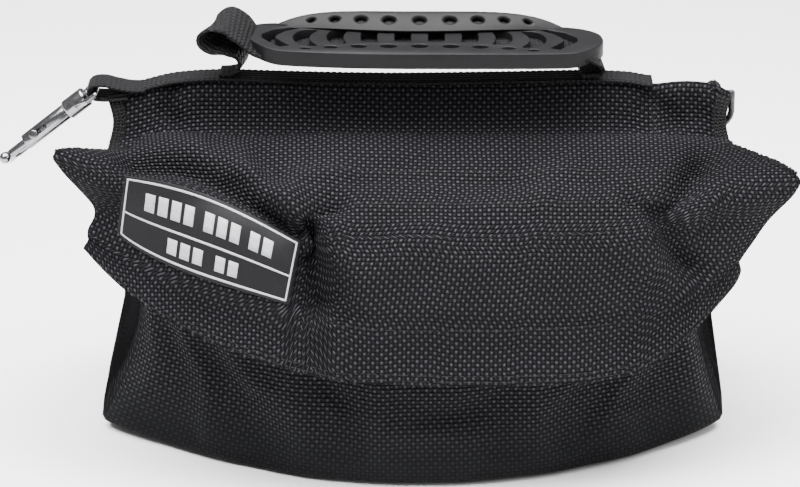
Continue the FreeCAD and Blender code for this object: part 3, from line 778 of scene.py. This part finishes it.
coverFolds = [
    # the crease over the label, from the ear's root to the deep fold beside the label
    {"line": [(-172, 149), (-148, 147), (-124, 143), (-96, 129), (-73, 112), (-64, 101)],
     "depth": -4.0, "width": 7.0, "lean": 10.5, "fade": 0.12},
    {"line": [(-70, 104), (-64, 92), (-63, 74), (-56, 50)], "depth": -14.0, "width": 11, "lean": -7.0,
     "fade": 0.15},
    {"line": [(-82, 126), (-62, 133), (-34, 138)], "depth": 3.0, "width": 7},
    {"line": [(-96, 150), (-86, 140), (-72, 128)], "depth": -2.6, "width": 6, "lean": -1.5},
    {"line": [(-120, 158), (-112, 148), (-104, 138)], "depth": -1.8, "width": 5},
    {"line": [(-108, 158), (-96, 146), (-88, 136)], "depth": 1.6, "width": 5},
    {"line": [(-36, 122), (-54, 112), (-66, 100)], "depth": -6.0, "width": 7, "lean": 4.0},
    {"line": [(-58, 92), (-42, 70), (-34, 48)], "depth": -3.0, "width": 9},
    {"line": [(-60, 66), (-50, 46), (-30, 34)], "depth": 3.0, "width": 9},
    {"line": [(-50, 100), (-36, 86), (-30, 70), (-40, 52)], "depth": 3.0, "width": 10},
    # the bulge that carries the label
    {"line": [(-158, 118), (-118, 100), (-80, 84)], "depth": 4.0, "width": 17, "fade": 0.3},
    # right ear: a crease between the ear and the bulge
    {"line": [(158, 153), (147, 132), (133, 113), (142, 90), (160, 78)], "depth": -8.0, "width": 8,
     "lean": -4.0, "fade": 0.12},
    {"line": [(110, 128), (122, 120), (133, 112)], "depth": -4.0, "width": 6, "lean": 1.5},
    {"line": [(176, 134), (166, 112), (152, 92)], "depth": -2.4, "width": 7},
    {"line": [(96, 106), (118, 92), (128, 72)], "depth": 3.0, "width": 12},
    # quilting dips along the stitched rows
    {"line": [(-112, 131), (0, 133), (100, 131), (150, 126)], "depth": -0.7, "width": 3.0, "fade": 0.1},
    {"line": [(-56, 115.5), (0, 113.5), (90, 114), (146, 108)], "depth": -0.7, "width": 3.0, "fade": 0.1},
    {"line": [(-59, 58.5), (0, 55.5), (90, 55), (146, 58)], "depth": -0.7, "width": 3.0, "fade": 0.1},
    {"line": [(64, 142), (40, 130), (6, 125)], "depth": -2.2, "width": 8},
    {"line": [(96, 150), (72, 132), (66, 112)], "depth": 2.6, "width": 8},
    {"line": [(26, 112), (48, 92), (40, 68)], "depth": -2.2, "width": 12},
    {"line": [(-24, 76), (-6, 98), (22, 106)], "depth": 2.6, "width": 12},
    {"line": [(-60, 160), (-30, 150), (10, 148)], "depth": 1.8, "width": 7},
    {"line": [(20, 152), (60, 146), (110, 148)], "depth": -1.0, "width": 8},
    {"line": [(-140, 70), (-120, 62), (-96, 60)], "depth": -1.2, "width": 7},
    {"line": [(-20, 100), (10, 86), (60, 84)], "depth": 1.2, "width": 14},
]


def coverGrid(c, folds):
    u = np.linspace(-1, 1, 25)
    net = []
    for row, square in zip(c["rows"], c["square"]):
        left, middle, right = (np.array(p, float) for p in row)
        end = np.where(u[:, None] < 0, left, right)
        share = np.abs(u)[:, None]
        line = middle + (end - middle) * np.concatenate([share, share ** square, share ** square], axis=1)
        net.append(line)
    net = np.array(net)
    hem = np.interp(u, np.linspace(-1, 1, len(c["hem"])), c["hem"])
    lower = smoothStep(3.5, 7.0, np.arange(len(net)))[:, None]
    net[..., 2] += (hem - net[-1, :, 2])[None, :] * lower
    grid = patch(net, c["across"], c["down"])
    grid = foldedGrid(grid, folds, 0.06)
    flare = smoothStep(0.86, 1.0, np.linspace(0, 1, c["down"])) * c["flare"]
    return grid + gridNormals(grid) * flare[:, None, None]


coverShape = coverGrid(cover, coverFolds)
relief = waves(coverShape[..., 0], seenHeight(coverShape), 5, 45.0) * 0.45
coverShape = coverShape + gridNormals(coverShape) * relief[..., None]
hinge = {"start": toWorld([(0, -60, 172)])[0], "end": toWorld([(0, -78, 162)])[0]}


def layCover(half):
    front = half == "front"
    piece = sheetPiece(half + "Cover", toWorld(coverShape), cover["thickness"] * mm)
    if not front:
        first, piece = piece, mirrorPiece(piece, "backCoverTurned")
        bpy.data.objects.remove(first)
        tuckCorners(piece)
        piece.name = "backCover"
    dress(piece, nylon)
    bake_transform(piece)
    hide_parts(half + "_flap")
    return piece


frontCover = layCover("front")
backCover = layCover("back")
print("covers made")


# A piece sewn to a cover: its transform is baked into its points.
def blendOnCover(piece):
    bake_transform(piece)
    return piece


# Puts a front piece in place, and its mirror on the back.
def onBothHalves(piece, name, place):
    twin = mirrorPiece(piece, "back" + name)
    tuckCorners(twin)
    place(piece, "front")
    place(twin, "back")
    return piece, twin


coverStitches = [
    {"row": 0.262, "first": 0.22, "last": 0.92},
    {"row": 0.395, "first": 0.34, "last": 0.86},
    {"row": 0.80, "first": 0.33, "last": 0.88},
    {"row": 0.965, "first": 0.02, "last": 0.985},
    {"row": 0.985, "first": 0.02, "last": 0.985},
]


def sewCover():
    rows = []
    for index, s in enumerate(coverStitches):
        line, up = gridLine(coverShape, row=s["row"], first=s["first"], last=s["last"],
                            lift=cover["thickness"] / 2)
        rows.append(stitchRow("seam%d" % index, line, up, None))
    joined = joinPieces("frontCoverThread", rows)
    onBothHalves(joined, "CoverThread", lambda piece, half: blendOnCover(piece))


sewCover()


earTape = {"width": 3.2, "thick": 3.6, "first": 0.10, "last": 0.30}


# Folded tape over the raw edge, uneven where the tape's picks fray.
def bindEars():
    parts = []
    for column, name in ((0.0, "earTapeLeft"), (1.0, "earTapeRight")):
        line, up = gridLine(coverShape, column=column, first=earTape["first"], last=earTape["last"],
                            samples=70)
        rng = np.random.default_rng(3)
        size = 1 + 0.16 * rng.standard_normal(len(line))
        profile = bandProfile(earTape["width"], earTape["thick"], 12, 3.0)[None] * size[:, None, None]
        parts.append(sweep(name, toWorld(line), up, profile * mm))
    tapeRun = joinPieces("frontEarTape", parts)
    dress(tapeRun, tape)

    def place(piece, half):
        blendOnCover(piece)
        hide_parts(half + "_flap_binding")

    onBothHalves(tapeRun, "EarTape", place)


bindEars()


fastener = {"material": hookLoopCloth, "halfLength": 110.0, "rows": (0.79, 0.935), "thick": 0.9}


def addStrip(name, node, lift, body):
    rows = np.linspace(*fastener["rows"], 9)
    half = fastener["halfLength"]
    lines = []
    for row in rows:
        line, up = gridLine(coverShape, row=row, samples=400)
        x = np.linspace(-half, half, 60)
        lines.append(np.stack([np.interp(x, line[:, 0], line[:, i] + up[:, i] * lift) for i in range(3)],
                              axis=1))
    piece = sheetPiece("front" + name, toWorld(np.array(lines)), fastener["thick"] * mm)

    def place(strip, side):
        dress(strip, fastener["material"])
        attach(strip, side + body)
        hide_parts(side + node)

    onBothHalves(piece, name, place)


addStrip("LoopStrip", "_loop_strip", -1.4, "_flap")
addStrip("HookStrip", "_hook_strip", -2.5, "_pouch")
print("strips made")


label = {
    # corners as seen from the front: across and up
    "topLeft": (-161.5, 135.5), "topRight": (-65.0, 99.5),
    "bottomLeft": (-166.5, 105.0), "bottomRight": (-72.0, 65.0),
    "bowTop": 6.5, "bowBottom": -6.5,
    "lift": 1.3, "thick": 0.45,
    "outline": 0.9, "margin": (0.016, 0.04), "divider": 0.56,
}


# Points on the label: a across and b down, each 0 to 1, laid over the cover.
def labelPoints(a, b, lift):
    a, b = np.asarray(a, float), np.asarray(b, float)
    corners = {k: np.array(label[k]) for k in ("topLeft", "topRight", "bottomLeft", "bottomRight")}
    top = corners["topLeft"] + (corners["topRight"] - corners["topLeft"]) * a[..., None]
    low = corners["bottomLeft"] + (corners["bottomRight"] - corners["bottomLeft"]) * a[..., None]
    top[..., 1] += label["bowTop"] * np.sin(np.pi * a ** 0.9)
    low[..., 1] += label["bowBottom"] * np.sin(np.pi * a ** 0.6)
    flat = top + (low - top) * b[..., None]
    x, s = coverShape[..., 0].ravel(), seenHeight(coverShape).ravel()
    y = coverShape[..., 1].ravel()
    target = flat.reshape(-1, 2)
    out = np.empty(len(target))
    for start in range(0, len(target), 200):
        part = target[start:start + 200]
        d2 = (part[:, :1] - x[None]) ** 2 + (part[:, 1:] - s[None]) ** 2
        weight = np.exp(-d2 / (2 * 3.5 ** 2)) + 1e-12
        # leans to the foremost cloth under it, so nothing pokes through
        part = np.exp(-(y[None] + 60) / 1.6)
        out[start:start + 200] = -60 - 1.6 * np.log((weight * part).sum(axis=1) / weight.sum(axis=1))
    y2 = out.reshape(a.shape)
    z2 = (flat[..., 1] - y2 * viewUp[0]) / viewUp[1]
    points = np.stack([flat[..., 0], y2, z2], axis=-1)
    toward = np.array([0, -viewUp[1], viewUp[0]])
    return points + toward * lift


def labelBar(name, a0, a1, b0, b1, lift, across=16, down=4):
    a, b = np.meshgrid(np.linspace(a0, a1, across), np.linspace(b0, b1, down))
    grid = labelPoints(a, b, lift)
    piece = makeMesh(name, toWorld(grid), gridFaces(down, across), flatCoordinates(grid) * mm)
    return piece


def buildLabel():
    a, b = np.meshgrid(np.linspace(0, 1, 72), np.linspace(0, 1, 26))
    grid = labelPoints(a, b, label["lift"])
    patchPiece = sheetPiece("labelPatch", toWorld(grid), label["thick"] * mm)
    dress(patchPiece, satin)
    ma, mb = label["margin"]
    wa, wb = 0.009, 0.028
    lift = label["lift"] + 0.5
    bars = [
        labelBar("printTop", ma, 1 - ma, mb, mb + wb, lift, 60, 2),
        labelBar("printBottom", ma, 1 - ma, 1 - mb - wb, 1 - mb, lift, 60, 2),
        labelBar("printDivider", ma, 1 - ma, label["divider"], label["divider"] + wb, lift, 60, 2),
        labelBar("printLeft", ma, ma + wa, mb, 1 - mb, lift, 2, 24),
        labelBar("printRight", 1 - ma - wa, 1 - ma, mb, 1 - mb, lift, 2, 24),
    ]
    # plain blocks stand in for two lines of print
    upper = [(a, a + 0.055) for a in (0.13, 0.205, 0.28, 0.355, 0.47, 0.545, 0.62, 0.73, 0.805)]
    lower = [(a, a + 0.055) for a in (0.28, 0.355, 0.43, 0.56, 0.635)]
    for i, (a0, a1) in enumerate(upper):
        bars.append(labelBar("printUpper%d" % i, a0, a1, 0.20, 0.44, lift, 5))
    for i, (a0, a1) in enumerate(lower):
        bars.append(labelBar("printLower%d" % i, a0, a1, 0.67, 0.86, lift, 5))
    printed = joinPieces("labelPrint", bars)
    solid = printed.modifiers.new("ink", "SOLIDIFY")
    solid.thickness = 0.00012
    applyModifiers(printed)
    dress(printed, ink)
    blendOnCover(patchPiece)
    blendOnCover(printed)
    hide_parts("label_patch")


buildLabel()
print("label made")


ridge = {
    "width": 18.0, "thick": 2.4,
    "line": [(-176, 198.5), (-160, 202), (-138, 207.5), (-112, 209.5), (-85, 209), (-40, 208), (0, 207.5),
             (50, 208), (90, 209), (116, 208.5), (130, 206.5), (150, 207.5), (164, 206), (175, 201)],
}


def ridgeLevel(x):
    knots = np.array(ridge["line"])
    fine = curve(knots, 400)
    return np.interp(x, fine[:, 0], fine[:, 1])


def buildRidge():
    x = np.linspace(-175.5, 131, 170)
    path = np.stack([x, 0.8 * np.sin(x / 31), ridgeLevel(x) - ridge["thick"] / 2], axis=1)
    side = np.repeat([[0, 1.0, 0]], len(x), axis=0)
    piece = sweep("ridgeWebbing", toWorld(path), side, bandProfile(ridge["width"], ridge["thick"]) * mm)
    finishPiece(piece, "front_pouch", webbing)
    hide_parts("ridge_webbing")
    rows = []
    for offset in (-7.2, 7.2):
        line = path + np.array([0, offset, ridge["thick"] / 2])
        rows.append(stitchRow("ridgeSeam", line[2:-2], np.repeat([[0, 0, 1.0]], len(x) - 4, axis=0), None))
    finishPiece(joinPieces("ridgeThread", rows), "front_pouch", thread)


buildRidge()

saddle = {
    "thick": 1.6, "across": 170, "down": 40,
    # front to back from the ridge to the pouch's crest: distance to the middle plane, and share of the drop
    "section": [(3.2, 0.0), (6.4, 0.10), (8.2, 0.28), (9.5, 0.5), (12.0, 0.72), (17.0, 0.92), (24.0, 1.0)],
    "foot": 179.5,
}

saddleFolds = [
    {"line": [(-134, 190), (-140, 176), (-134, 164)], "depth": -2.4, "width": 5.5, "lean": 1.2,
     "ends": 0.4},
    {"line": [(-166, 172), (-150, 164), (-136, 160)], "depth": 1.6, "width": 7},
    {"line": [(126, 188), (132, 178), (142, 168), (150, 160)], "depth": -3.0, "width": 7, "lean": -1.0},
    {"line": [(150, 186), (156, 174), (160, 164)], "depth": -1.5, "width": 5},
    {"line": [(-120, 182), (0, 178), (110, 182)], "depth": -1.6, "width": 9, "fade": 0.2},
    {"line": [(-96, 196), (-86, 190), (-40, 187)], "depth": 1.2, "width": 4},
]


def saddleGrid(drop):
    x = np.linspace(-174.5, 174.5, saddle["across"])
    section = curve(np.array(saddle["section"]), saddle["down"])
    top = ridgeLevel(x)[None] - 1.6 - drop
    y = -section[:, :1] + 0 * x[None]
    foot = saddle["foot"] - 9.0 * (np.abs(x[None]) / 175) ** 6
    z = top - (top - foot) * section[:, 1:]
    near = np.abs(x[None]) ** 8 / 174.5 ** 8
    grid = np.stack([x[None] - 3.0 * np.sign(x[None]) * near * np.sin(np.pi * section[:, 1:]), y, z], axis=-1)
    return grid


def buildSaddle(half):
    front = half == "front"
    grid = foldedGrid(saddleGrid(0.0), saddleFolds) if front else saddleGrid(4.5)
    low = np.minimum(grid[..., 1], -2.6)
    grid[..., 1] = low
    piece = sheetPiece("saddleCut", toWorld(grid), saddle["thick"] * mm)
    line, up = gridLine(grid, column=0.0, first=0.02, last=0.96, samples=50)
    line2, up2 = gridLine(grid, column=1.0, first=0.02, last=0.96, samples=50)
    tapes = []
    for edge, normal, toward in ((line, up, 1), (line2, up2, -1)):
        edge = edge + np.array([toward * 3.2, 0, 0]) + normal * 0.4
        side = np.cross(np.gradient(edge, axis=0), normal)
        tapes.append(sweep("edge", toWorld(edge), side, bandProfile(8.5, 2.8, 16, 4.0) * mm))
    tapes = joinPieces("saddleEdge", tapes)
    seams = []
    for column, lift in ((0.018, 1.9), (0.982, 1.9), (0.875, 0.8), (0.882, 0.8)):
        run, normal = gridLine(grid, column=column, first=0.06, last=0.95, lift=lift)
        seams.append(stitchRow("seam", run, normal, None))
    seams = joinPieces("saddleSeam", seams)
    body = half + "_pouch"
    if not front:
        turned = []
        for part in (piece, tapes, seams):
            turned.append(mirrorPiece(part, part.name + "Back"))
            bpy.data.objects.remove(part)
        piece, tapes, seams = turned
    piece.name, tapes.name, seams.name = half + "Saddle", half + "SaddleTape", half + "SaddleThread"
    look = ((piece, nylon, "nylon"), (tapes, tape, "tape"), (seams, thread, "webbing"))
    for part, material, slotName in look:
        if front:
            finishPiece(part, body, material)
            continue
        dress(part, material)
        toWorld([(0, 0, 205)])[0]
        toWorld([(0, 0, 186)])[0]
        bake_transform(part)
    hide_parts(half + "_saddle_panel")
    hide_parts(half + "_edge_binding")


buildSaddle("front")
buildSaddle("back")
print("ridge and saddle made")


def strapLoop(name, node, path, width, thick):
    path = curve(np.array(path, float), 60)
    side = np.repeat([[0, 1.0, 0]], len(path), axis=0)
    piece = sweep(name, toWorld(path), side, bandProfile(width, thick) * mm)
    finishPiece(piece, "front_pouch", webbing)
    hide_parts(node)


strapLoop("snapStrap", "snap_strap_loop",
          [(-154, 0, 202.0), (-162, 0, 201.9), (-170, 0, 203.4), (-177, 0, 205.2), (-183, 0, 204.8),
           (-186.0, 0, 202.2), (-185.6, 0, 199.0), (-182.5, 0, 197.2), (-177, 0, 196.6), (-170, 0, 197.0),
           (-164, 0, 197.6)],
          20.0, 2.0)
strapLoop("ringStrap", "ring_strap_loop",
          [(165.8, 0, 203.2), (162.4, 0, 201.0), (161.9, 0, 198.2), (163.2, 0, 195.6), (165.8, 0, 194.4),
           (168.4, 0, 195.6), (169.7, 0, 198.2), (169.2, 0, 201.0), (166.4, 0, 203.4)], 14.0, 1.8)


handle = {
    "width": 38.0, "thick": 2.4, "through": (-84.0, 84.0), "level": 224.4,
    # the left end springs up and out past the grip, then curls under to its foot on the ridge
    "left": [(-86, 224.4), (-92, 228.2), (-99, 236.0), (-107, 240.6), (-114, 239.5), (-117, 235.5),
             (-113, 231.5), (-106, 229), (-100.5, 225), (-99, 219), (-101.5, 213.5), (-106, 211.4),
             (-112, 211.0)],
    "right": [(86, 224.4), (93, 223.9), (98.5, 220.8), (101.5, 216.5), (100.5, 213.0), (96, 211.4),
              (90, 211.0)],
}


def buildHandleWebbing():
    parts = []
    for end, knots in (("left", handle["left"]), ("right", handle["right"])):
        line = curve(np.array(knots, float), 90)
        path = np.stack([line[:, 0], np.zeros(90), line[:, 1]], axis=1)
        t = np.linspace(0, 1, 90)
        lean = bump01(t)
        path[:, 1] += (-1.5 if end == "left" else 1.0) * lean
        side = np.stack([(0.42 if end == "left" else -0.1) * lean, np.ones(90), 0.10 * lean], axis=1)
        narrow = (0.45, 0.8, 21.0) if end == "left" else (0.25, 0.8, 18.0)
        width = handle["width"] - 1.5 - narrow[2] * smoothStep(narrow[0], narrow[1], t)
        profile = np.stack([bandProfile(w, handle["thick"], 24, 5.0) for w in width])
        parts.append(sweep("leg", toWorld(path), side, profile * mm))
    first, last = handle["through"]
    x = np.linspace(first - 3, last + 3, 30)
    path = np.stack([x, 0 * x, np.full(30, handle["level"])], axis=1)
    side = np.repeat([[0, 1.0, 0]], 30, axis=0)
    parts.append(sweep("middle", toWorld(path), side,
                       bandProfile(handle["width"] - 1.5, handle["thick"], 24, 5.0) * mm))
    piece = joinPieces("handleWebbing", parts)
    dress(piece, webbing)
    toWorld([(0, 0, 211.5)])[0]
    toWorld([(0, 0, 222)])[0]
    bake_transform(piece)
    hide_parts("handle_webbing")


buildHandleWebbing()
print("handle webbing made")


# A rigid moulding or casting: the node's own form with its edges rounded.
def softEdges(node, name, material, body, bevel, angle=35.0):
    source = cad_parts[node]
    piece = source.copy()
    piece.data = source.data.copy()
    piece.name = name
    piece.data.name = name
    bpy.context.scene.collection.objects.link(piece)
    piece.parent = None
    piece.matrix_world = source.matrix_world.copy()
    bpy.context.view_layer.update()
    piece.data.transform(piece.matrix_world)
    piece.matrix_world.identity()
    work = bmesh.new()
    work.from_mesh(piece.data)
    bmesh.ops.remove_doubles(work, verts=work.verts, dist=1e-6)
    bmesh.ops.dissolve_limit(work, angle_limit=math.radians(2), verts=work.verts, edges=work.edges)
    work.to_mesh(piece.data)
    work.free()
    piece.data.polygons.foreach_set("use_smooth", [True] * len(piece.data.polygons))
    if bevel:
        round1 = piece.modifiers.new("rounded", "BEVEL")
        round1.width = bevel * mm
        round1.segments = 2
        round1.limit_method = "ANGLE"
        round1.angle_limit = math.radians(angle)
        round1.harden_normals = False
        applyModifiers(piece)
    piece.data.set_sharp_from_angle(angle=math.radians(50))
    finishPiece(piece, body, material)
    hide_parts(node)
    return piece


grip = {
    "bottom": 220.8, "top": 229.8, "round": 0.6,
    "slotStep": 19.0, "slotHalf": 4.6, "slotFar": 15.0,
    "slotNear": (-3.5, -5.0, -8.5, -13.5),  # near ends, from the middle of the grip outwards
    "bend": (0.2, 0.9, 2.8, 6.0),
    "nearPlaces": (0.0, 17.4, 34.0, 49.6, 63.6), "farPlaces": (0.0, 17.2, 33.0, 47.8, 61.0),
    "nearOvals": (-11.0, -11.4, -12.2, -14.6, -18.0),
    "ovalLong": (4.7, 4.7, 4.5, 3.9, 3.1), "ovalShort": (3.4, 3.3, 3.0, 2.4, 1.8),
    # anticlockwise from the middle of the near edge
    "outline": [(0, -25.5), (36, -25.4), (70, -24.6), (86, -22.5), (97, -13), (102, -5), (103, 3), (100, 13),
                (89, 21), (68, 24.6), (36, 25.3), (0, 25.5), (-36, 25.4), (-70, 25), (-88, 22.5), (-95.5, 16),
                (-97, 5), (-95.5, -4), (-90, -14), (-81, -22.5), (-68, -24.6), (-36, -25.4)],
}


# A flat moulding with through holes and rounded edges, from outlines in bag millimetres.
def outlineMesh(name, outline, holes, low, high, edge):
    data = bpy.data.curves.new(name, "CURVE")
    data.dimensions = "2D"
    data.fill_mode = "BOTH"
    data.extrude = ((high - low) / 2 - edge) * mm
    data.bevel_depth = edge * mm
    data.bevel_resolution = 2
    data.offset = -edge * mm
    for points in [outline] + holes:
        spline = data.splines.new("POLY")
        spline.points.add(len(points) - 1)
        flat = np.zeros((len(points), 4))
        flat[:, :2] = np.asarray(points) * mm
        flat[:, 3] = 1
        spline.points.foreach_set("co", flat.ravel())
        spline.use_cyclic_u = True
    item = bpy.data.objects.new(name + "Curve", data)
    bpy.context.scene.collection.objects.link(item)
    graph = bpy.context.evaluated_depsgraph_get()
    mesh = bpy.data.meshes.new_from_object(item.evaluated_get(graph))
    bpy.data.objects.remove(item)
    piece = bpy.data.objects.new(name, mesh)
    bpy.context.scene.collection.objects.link(piece)
    writePoints(piece, readPoints(piece) + (bagMiddle, 0, (low + high) / 2 * mm))
    fixNormals(piece)
    return piece


def ellipse(cx, cy, a, b, count=28):
    t = np.linspace(0, 2 * np.pi, count, endpoint=False)
    return np.stack([cx + a * np.cos(t), cy + b * np.sin(t)], axis=1)


# A slot bowed towards the grip's end, more so the nearer it is to that end.
def gripSlot(index, side):
    middle = (index + 0.5) * grip["slotStep"] * side
    y = np.linspace(-1, 1, 17)
    end = grip["slotHalf"] * np.minimum(1, (1 - np.abs(y)) * 7 + 0.5)
    bow = -side * grip["bend"][index] * y ** 2
    near, far = grip["slotNear"][index], grip["slotFar"]
    level = near + (far - near) * (y + 1) / 2
    outer = np.stack([middle + bow + end, level], axis=1)
    inner = np.stack([middle + bow - end, level], axis=1)[::-1]
    return np.concatenate([outer, inner])


# The last opening at each end: an arrowhead band parallel to the tapered end.
def gripChevron(side):
    outer = [(-71, 19), (-82, 13), (-88.5, 4), (-88.5, -2), (-83.5, -10), (-78, -16.5)]
    inner = [(-72.5, -14.0), (-77, -8), (-81, -1.5), (-80.5, 3.0), (-76, 10), (-67, 18)]
    points = np.array(outer + inner, float)
    points[:, 0] *= -side
    return points


def buildGrip():
    outline = closedCurve(grip["outline"], 150)
    holes = [gripSlot(i, side) for side in (-1, 1) for i in range(4)]
    holes += [gripChevron(side) for side in (-1, 1)]
    for i in range(-4, 5):
        across, level, long, short = (grip[key][abs(i)] for key in
                                      ("nearPlaces", "nearOvals", "ovalLong", "ovalShort"))
        holes.append(ellipse(np.sign(i) * across, level, long, short))
    plate = outlineMesh("handleGrip", outline, holes, grip["bottom"], grip["top"], grip["round"])
    co = readPoints(plate)
    share = (co[:, 0] - bagMiddle) / (98 * mm)
    co[:, 2] += (2.6 * np.clip(-share, 0, 1) ** 2 - 0.4 * np.clip(share, 0, 1) ** 2) * mm
    writePoints(plate, co)
    plate.data.polygons.foreach_set("use_smooth", [True] * len(plate.data.polygons))
    plate.data.set_sharp_from_angle(angle=math.radians(40))
    finishPiece(plate, "handle", rubber)
    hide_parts("handle_grip")

    # back rim: rises from the far edge, curls over and slopes down to a crescent front edge
    x = np.linspace(-80, 80, 420)
    t = np.linspace(0, 1, 60)
    reach = 1.6 + 13.0 * np.clip(1 - (x / 81) ** 2, 0, 1) ** 0.9
    far = 25.6 - 1.2 * (x / 80) ** 2 - 1.6 * (x / 88) ** 8
    rise = 8.0 * np.clip(1 - np.abs(x / 81) ** 4.5, 0, 1) - 1.6 * np.abs(x / 80) ** 6
    base = grip["top"] - 3.5 + 2.6 * np.clip(-x / 98, 0, 1) ** 2
    section = curve(np.array([(0.0, 0.0), (-0.02, 0.5), (0.03, 0.85), (0.16, 1.0), (0.4, 0.9), (0.75, 0.62),
                              (1.0, 0.36)]), 60)
    y = far[None] - section[:, :1] * reach[None] - 0.6
    z = base[None] + section[:, 1:] * (rise + 3.2)[None]
    grid = np.stack([np.repeat(x[None], 60, 0), y, z], axis=-1)
    normals = gridNormals(grid)
    normals *= np.sign((normals * [0, -0.3, 1]).sum(axis=-1).mean())
    dent = np.zeros(y.shape)
    for i in range(-4, 5):
        cx = np.sign(i) * grip["farPlaces"][abs(i)]
        k = int(np.argmin(np.abs(x - cx)))
        cy = far[k] - 0.6 - 0.56 * reach[k]
        d = np.hypot((grid[..., 0] - cx) / grip["ovalLong"][abs(i)],
                     (y - cy) / (0.85 * grip["ovalShort"][abs(i)]))
        dent += 3.4 * (1 - smoothStep(0.86, 1.04, d)) * (t[:, None] > 0.3)
    grid = grid - normals * dent[..., None]
    lip = sheetPiece("gripLip", toWorld(grid), 2.6 * mm)
    finishPiece(lip, "handle", rubber)


buildGrip()
print("grip made")


softEdges("snap_eye", "snapEye", zinc, "snap_eye", 0.35)
softEdges("snap_body", "snapBody", zinc, "snap_body", 0.45)
softEdges("swivel_rivet", "swivelRivet", zinc, "snap_body", 0.3)
softEdges("snap_bolt", "snapBolt", zinc, "snap_bolt", 0.3)
softEdges("thumb_knob", "thumbKnob", zinc, "snap_bolt", 0.3)
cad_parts["bolt_spring"].data.materials.clear()
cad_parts["bolt_spring"].data.materials.append(springSteel)
softEdges("d_ring", "dRing", darkWire, "d_ring", 0.3)
print("snap and ring made")


# Studio paper: a plain pale floor, matt.
def addFloor():
    paper = newMaterial("studio paper", {"Base Color": hexLinear("#ffffff"), "Roughness": 0.9})[0]
    edge = np.linspace(-6, 6, 9)
    grid = np.stack([np.repeat(edge[None], 9, 0), np.repeat(edge[:, None], 9, 1),
                     np.full((9, 9), -0.0005)], axis=2)
    piece = makeMesh("floor", grid, gridFaces(9, 9)[:, ::-1])
    piece.data.materials.append(paper)


def addLight(name, at, aim, size, power):
    data = bpy.data.lights.new(name, "AREA")
    data.shape = "RECTANGLE"
    data.size, data.size_y = size
    data.energy = power
    item = bpy.data.objects.new(name, data)
    bpy.context.scene.collection.objects.link(item)
    item.location = at
    item.rotation_euler = (Vector(aim) - Vector(at)).to_track_quat("-Z", "Y").to_euler()


addFloor()
addLight("keyLight", (-0.7, -0.75, 1.45), (0, 0, 0.1), (0.8, 0.6), 34)
addLight("fillLight", (1.3, -0.7, 0.9), (0, 0, 0.1), (0.8, 0.8), 12)
addLight("topLight", (0.0, 0.0, 1.6), (0, 0, 0.1), (2.2, 1.2), 150)
world = bpy.data.worlds.new("studio")
bpy.context.scene.world = world
world.use_nodes = True
world.node_tree.nodes["Background"].inputs["Color"].default_value = (1, 1, 1, 1)
world.node_tree.nodes["Background"].inputs["Strength"].default_value = 0.35
print("floor and lights made")
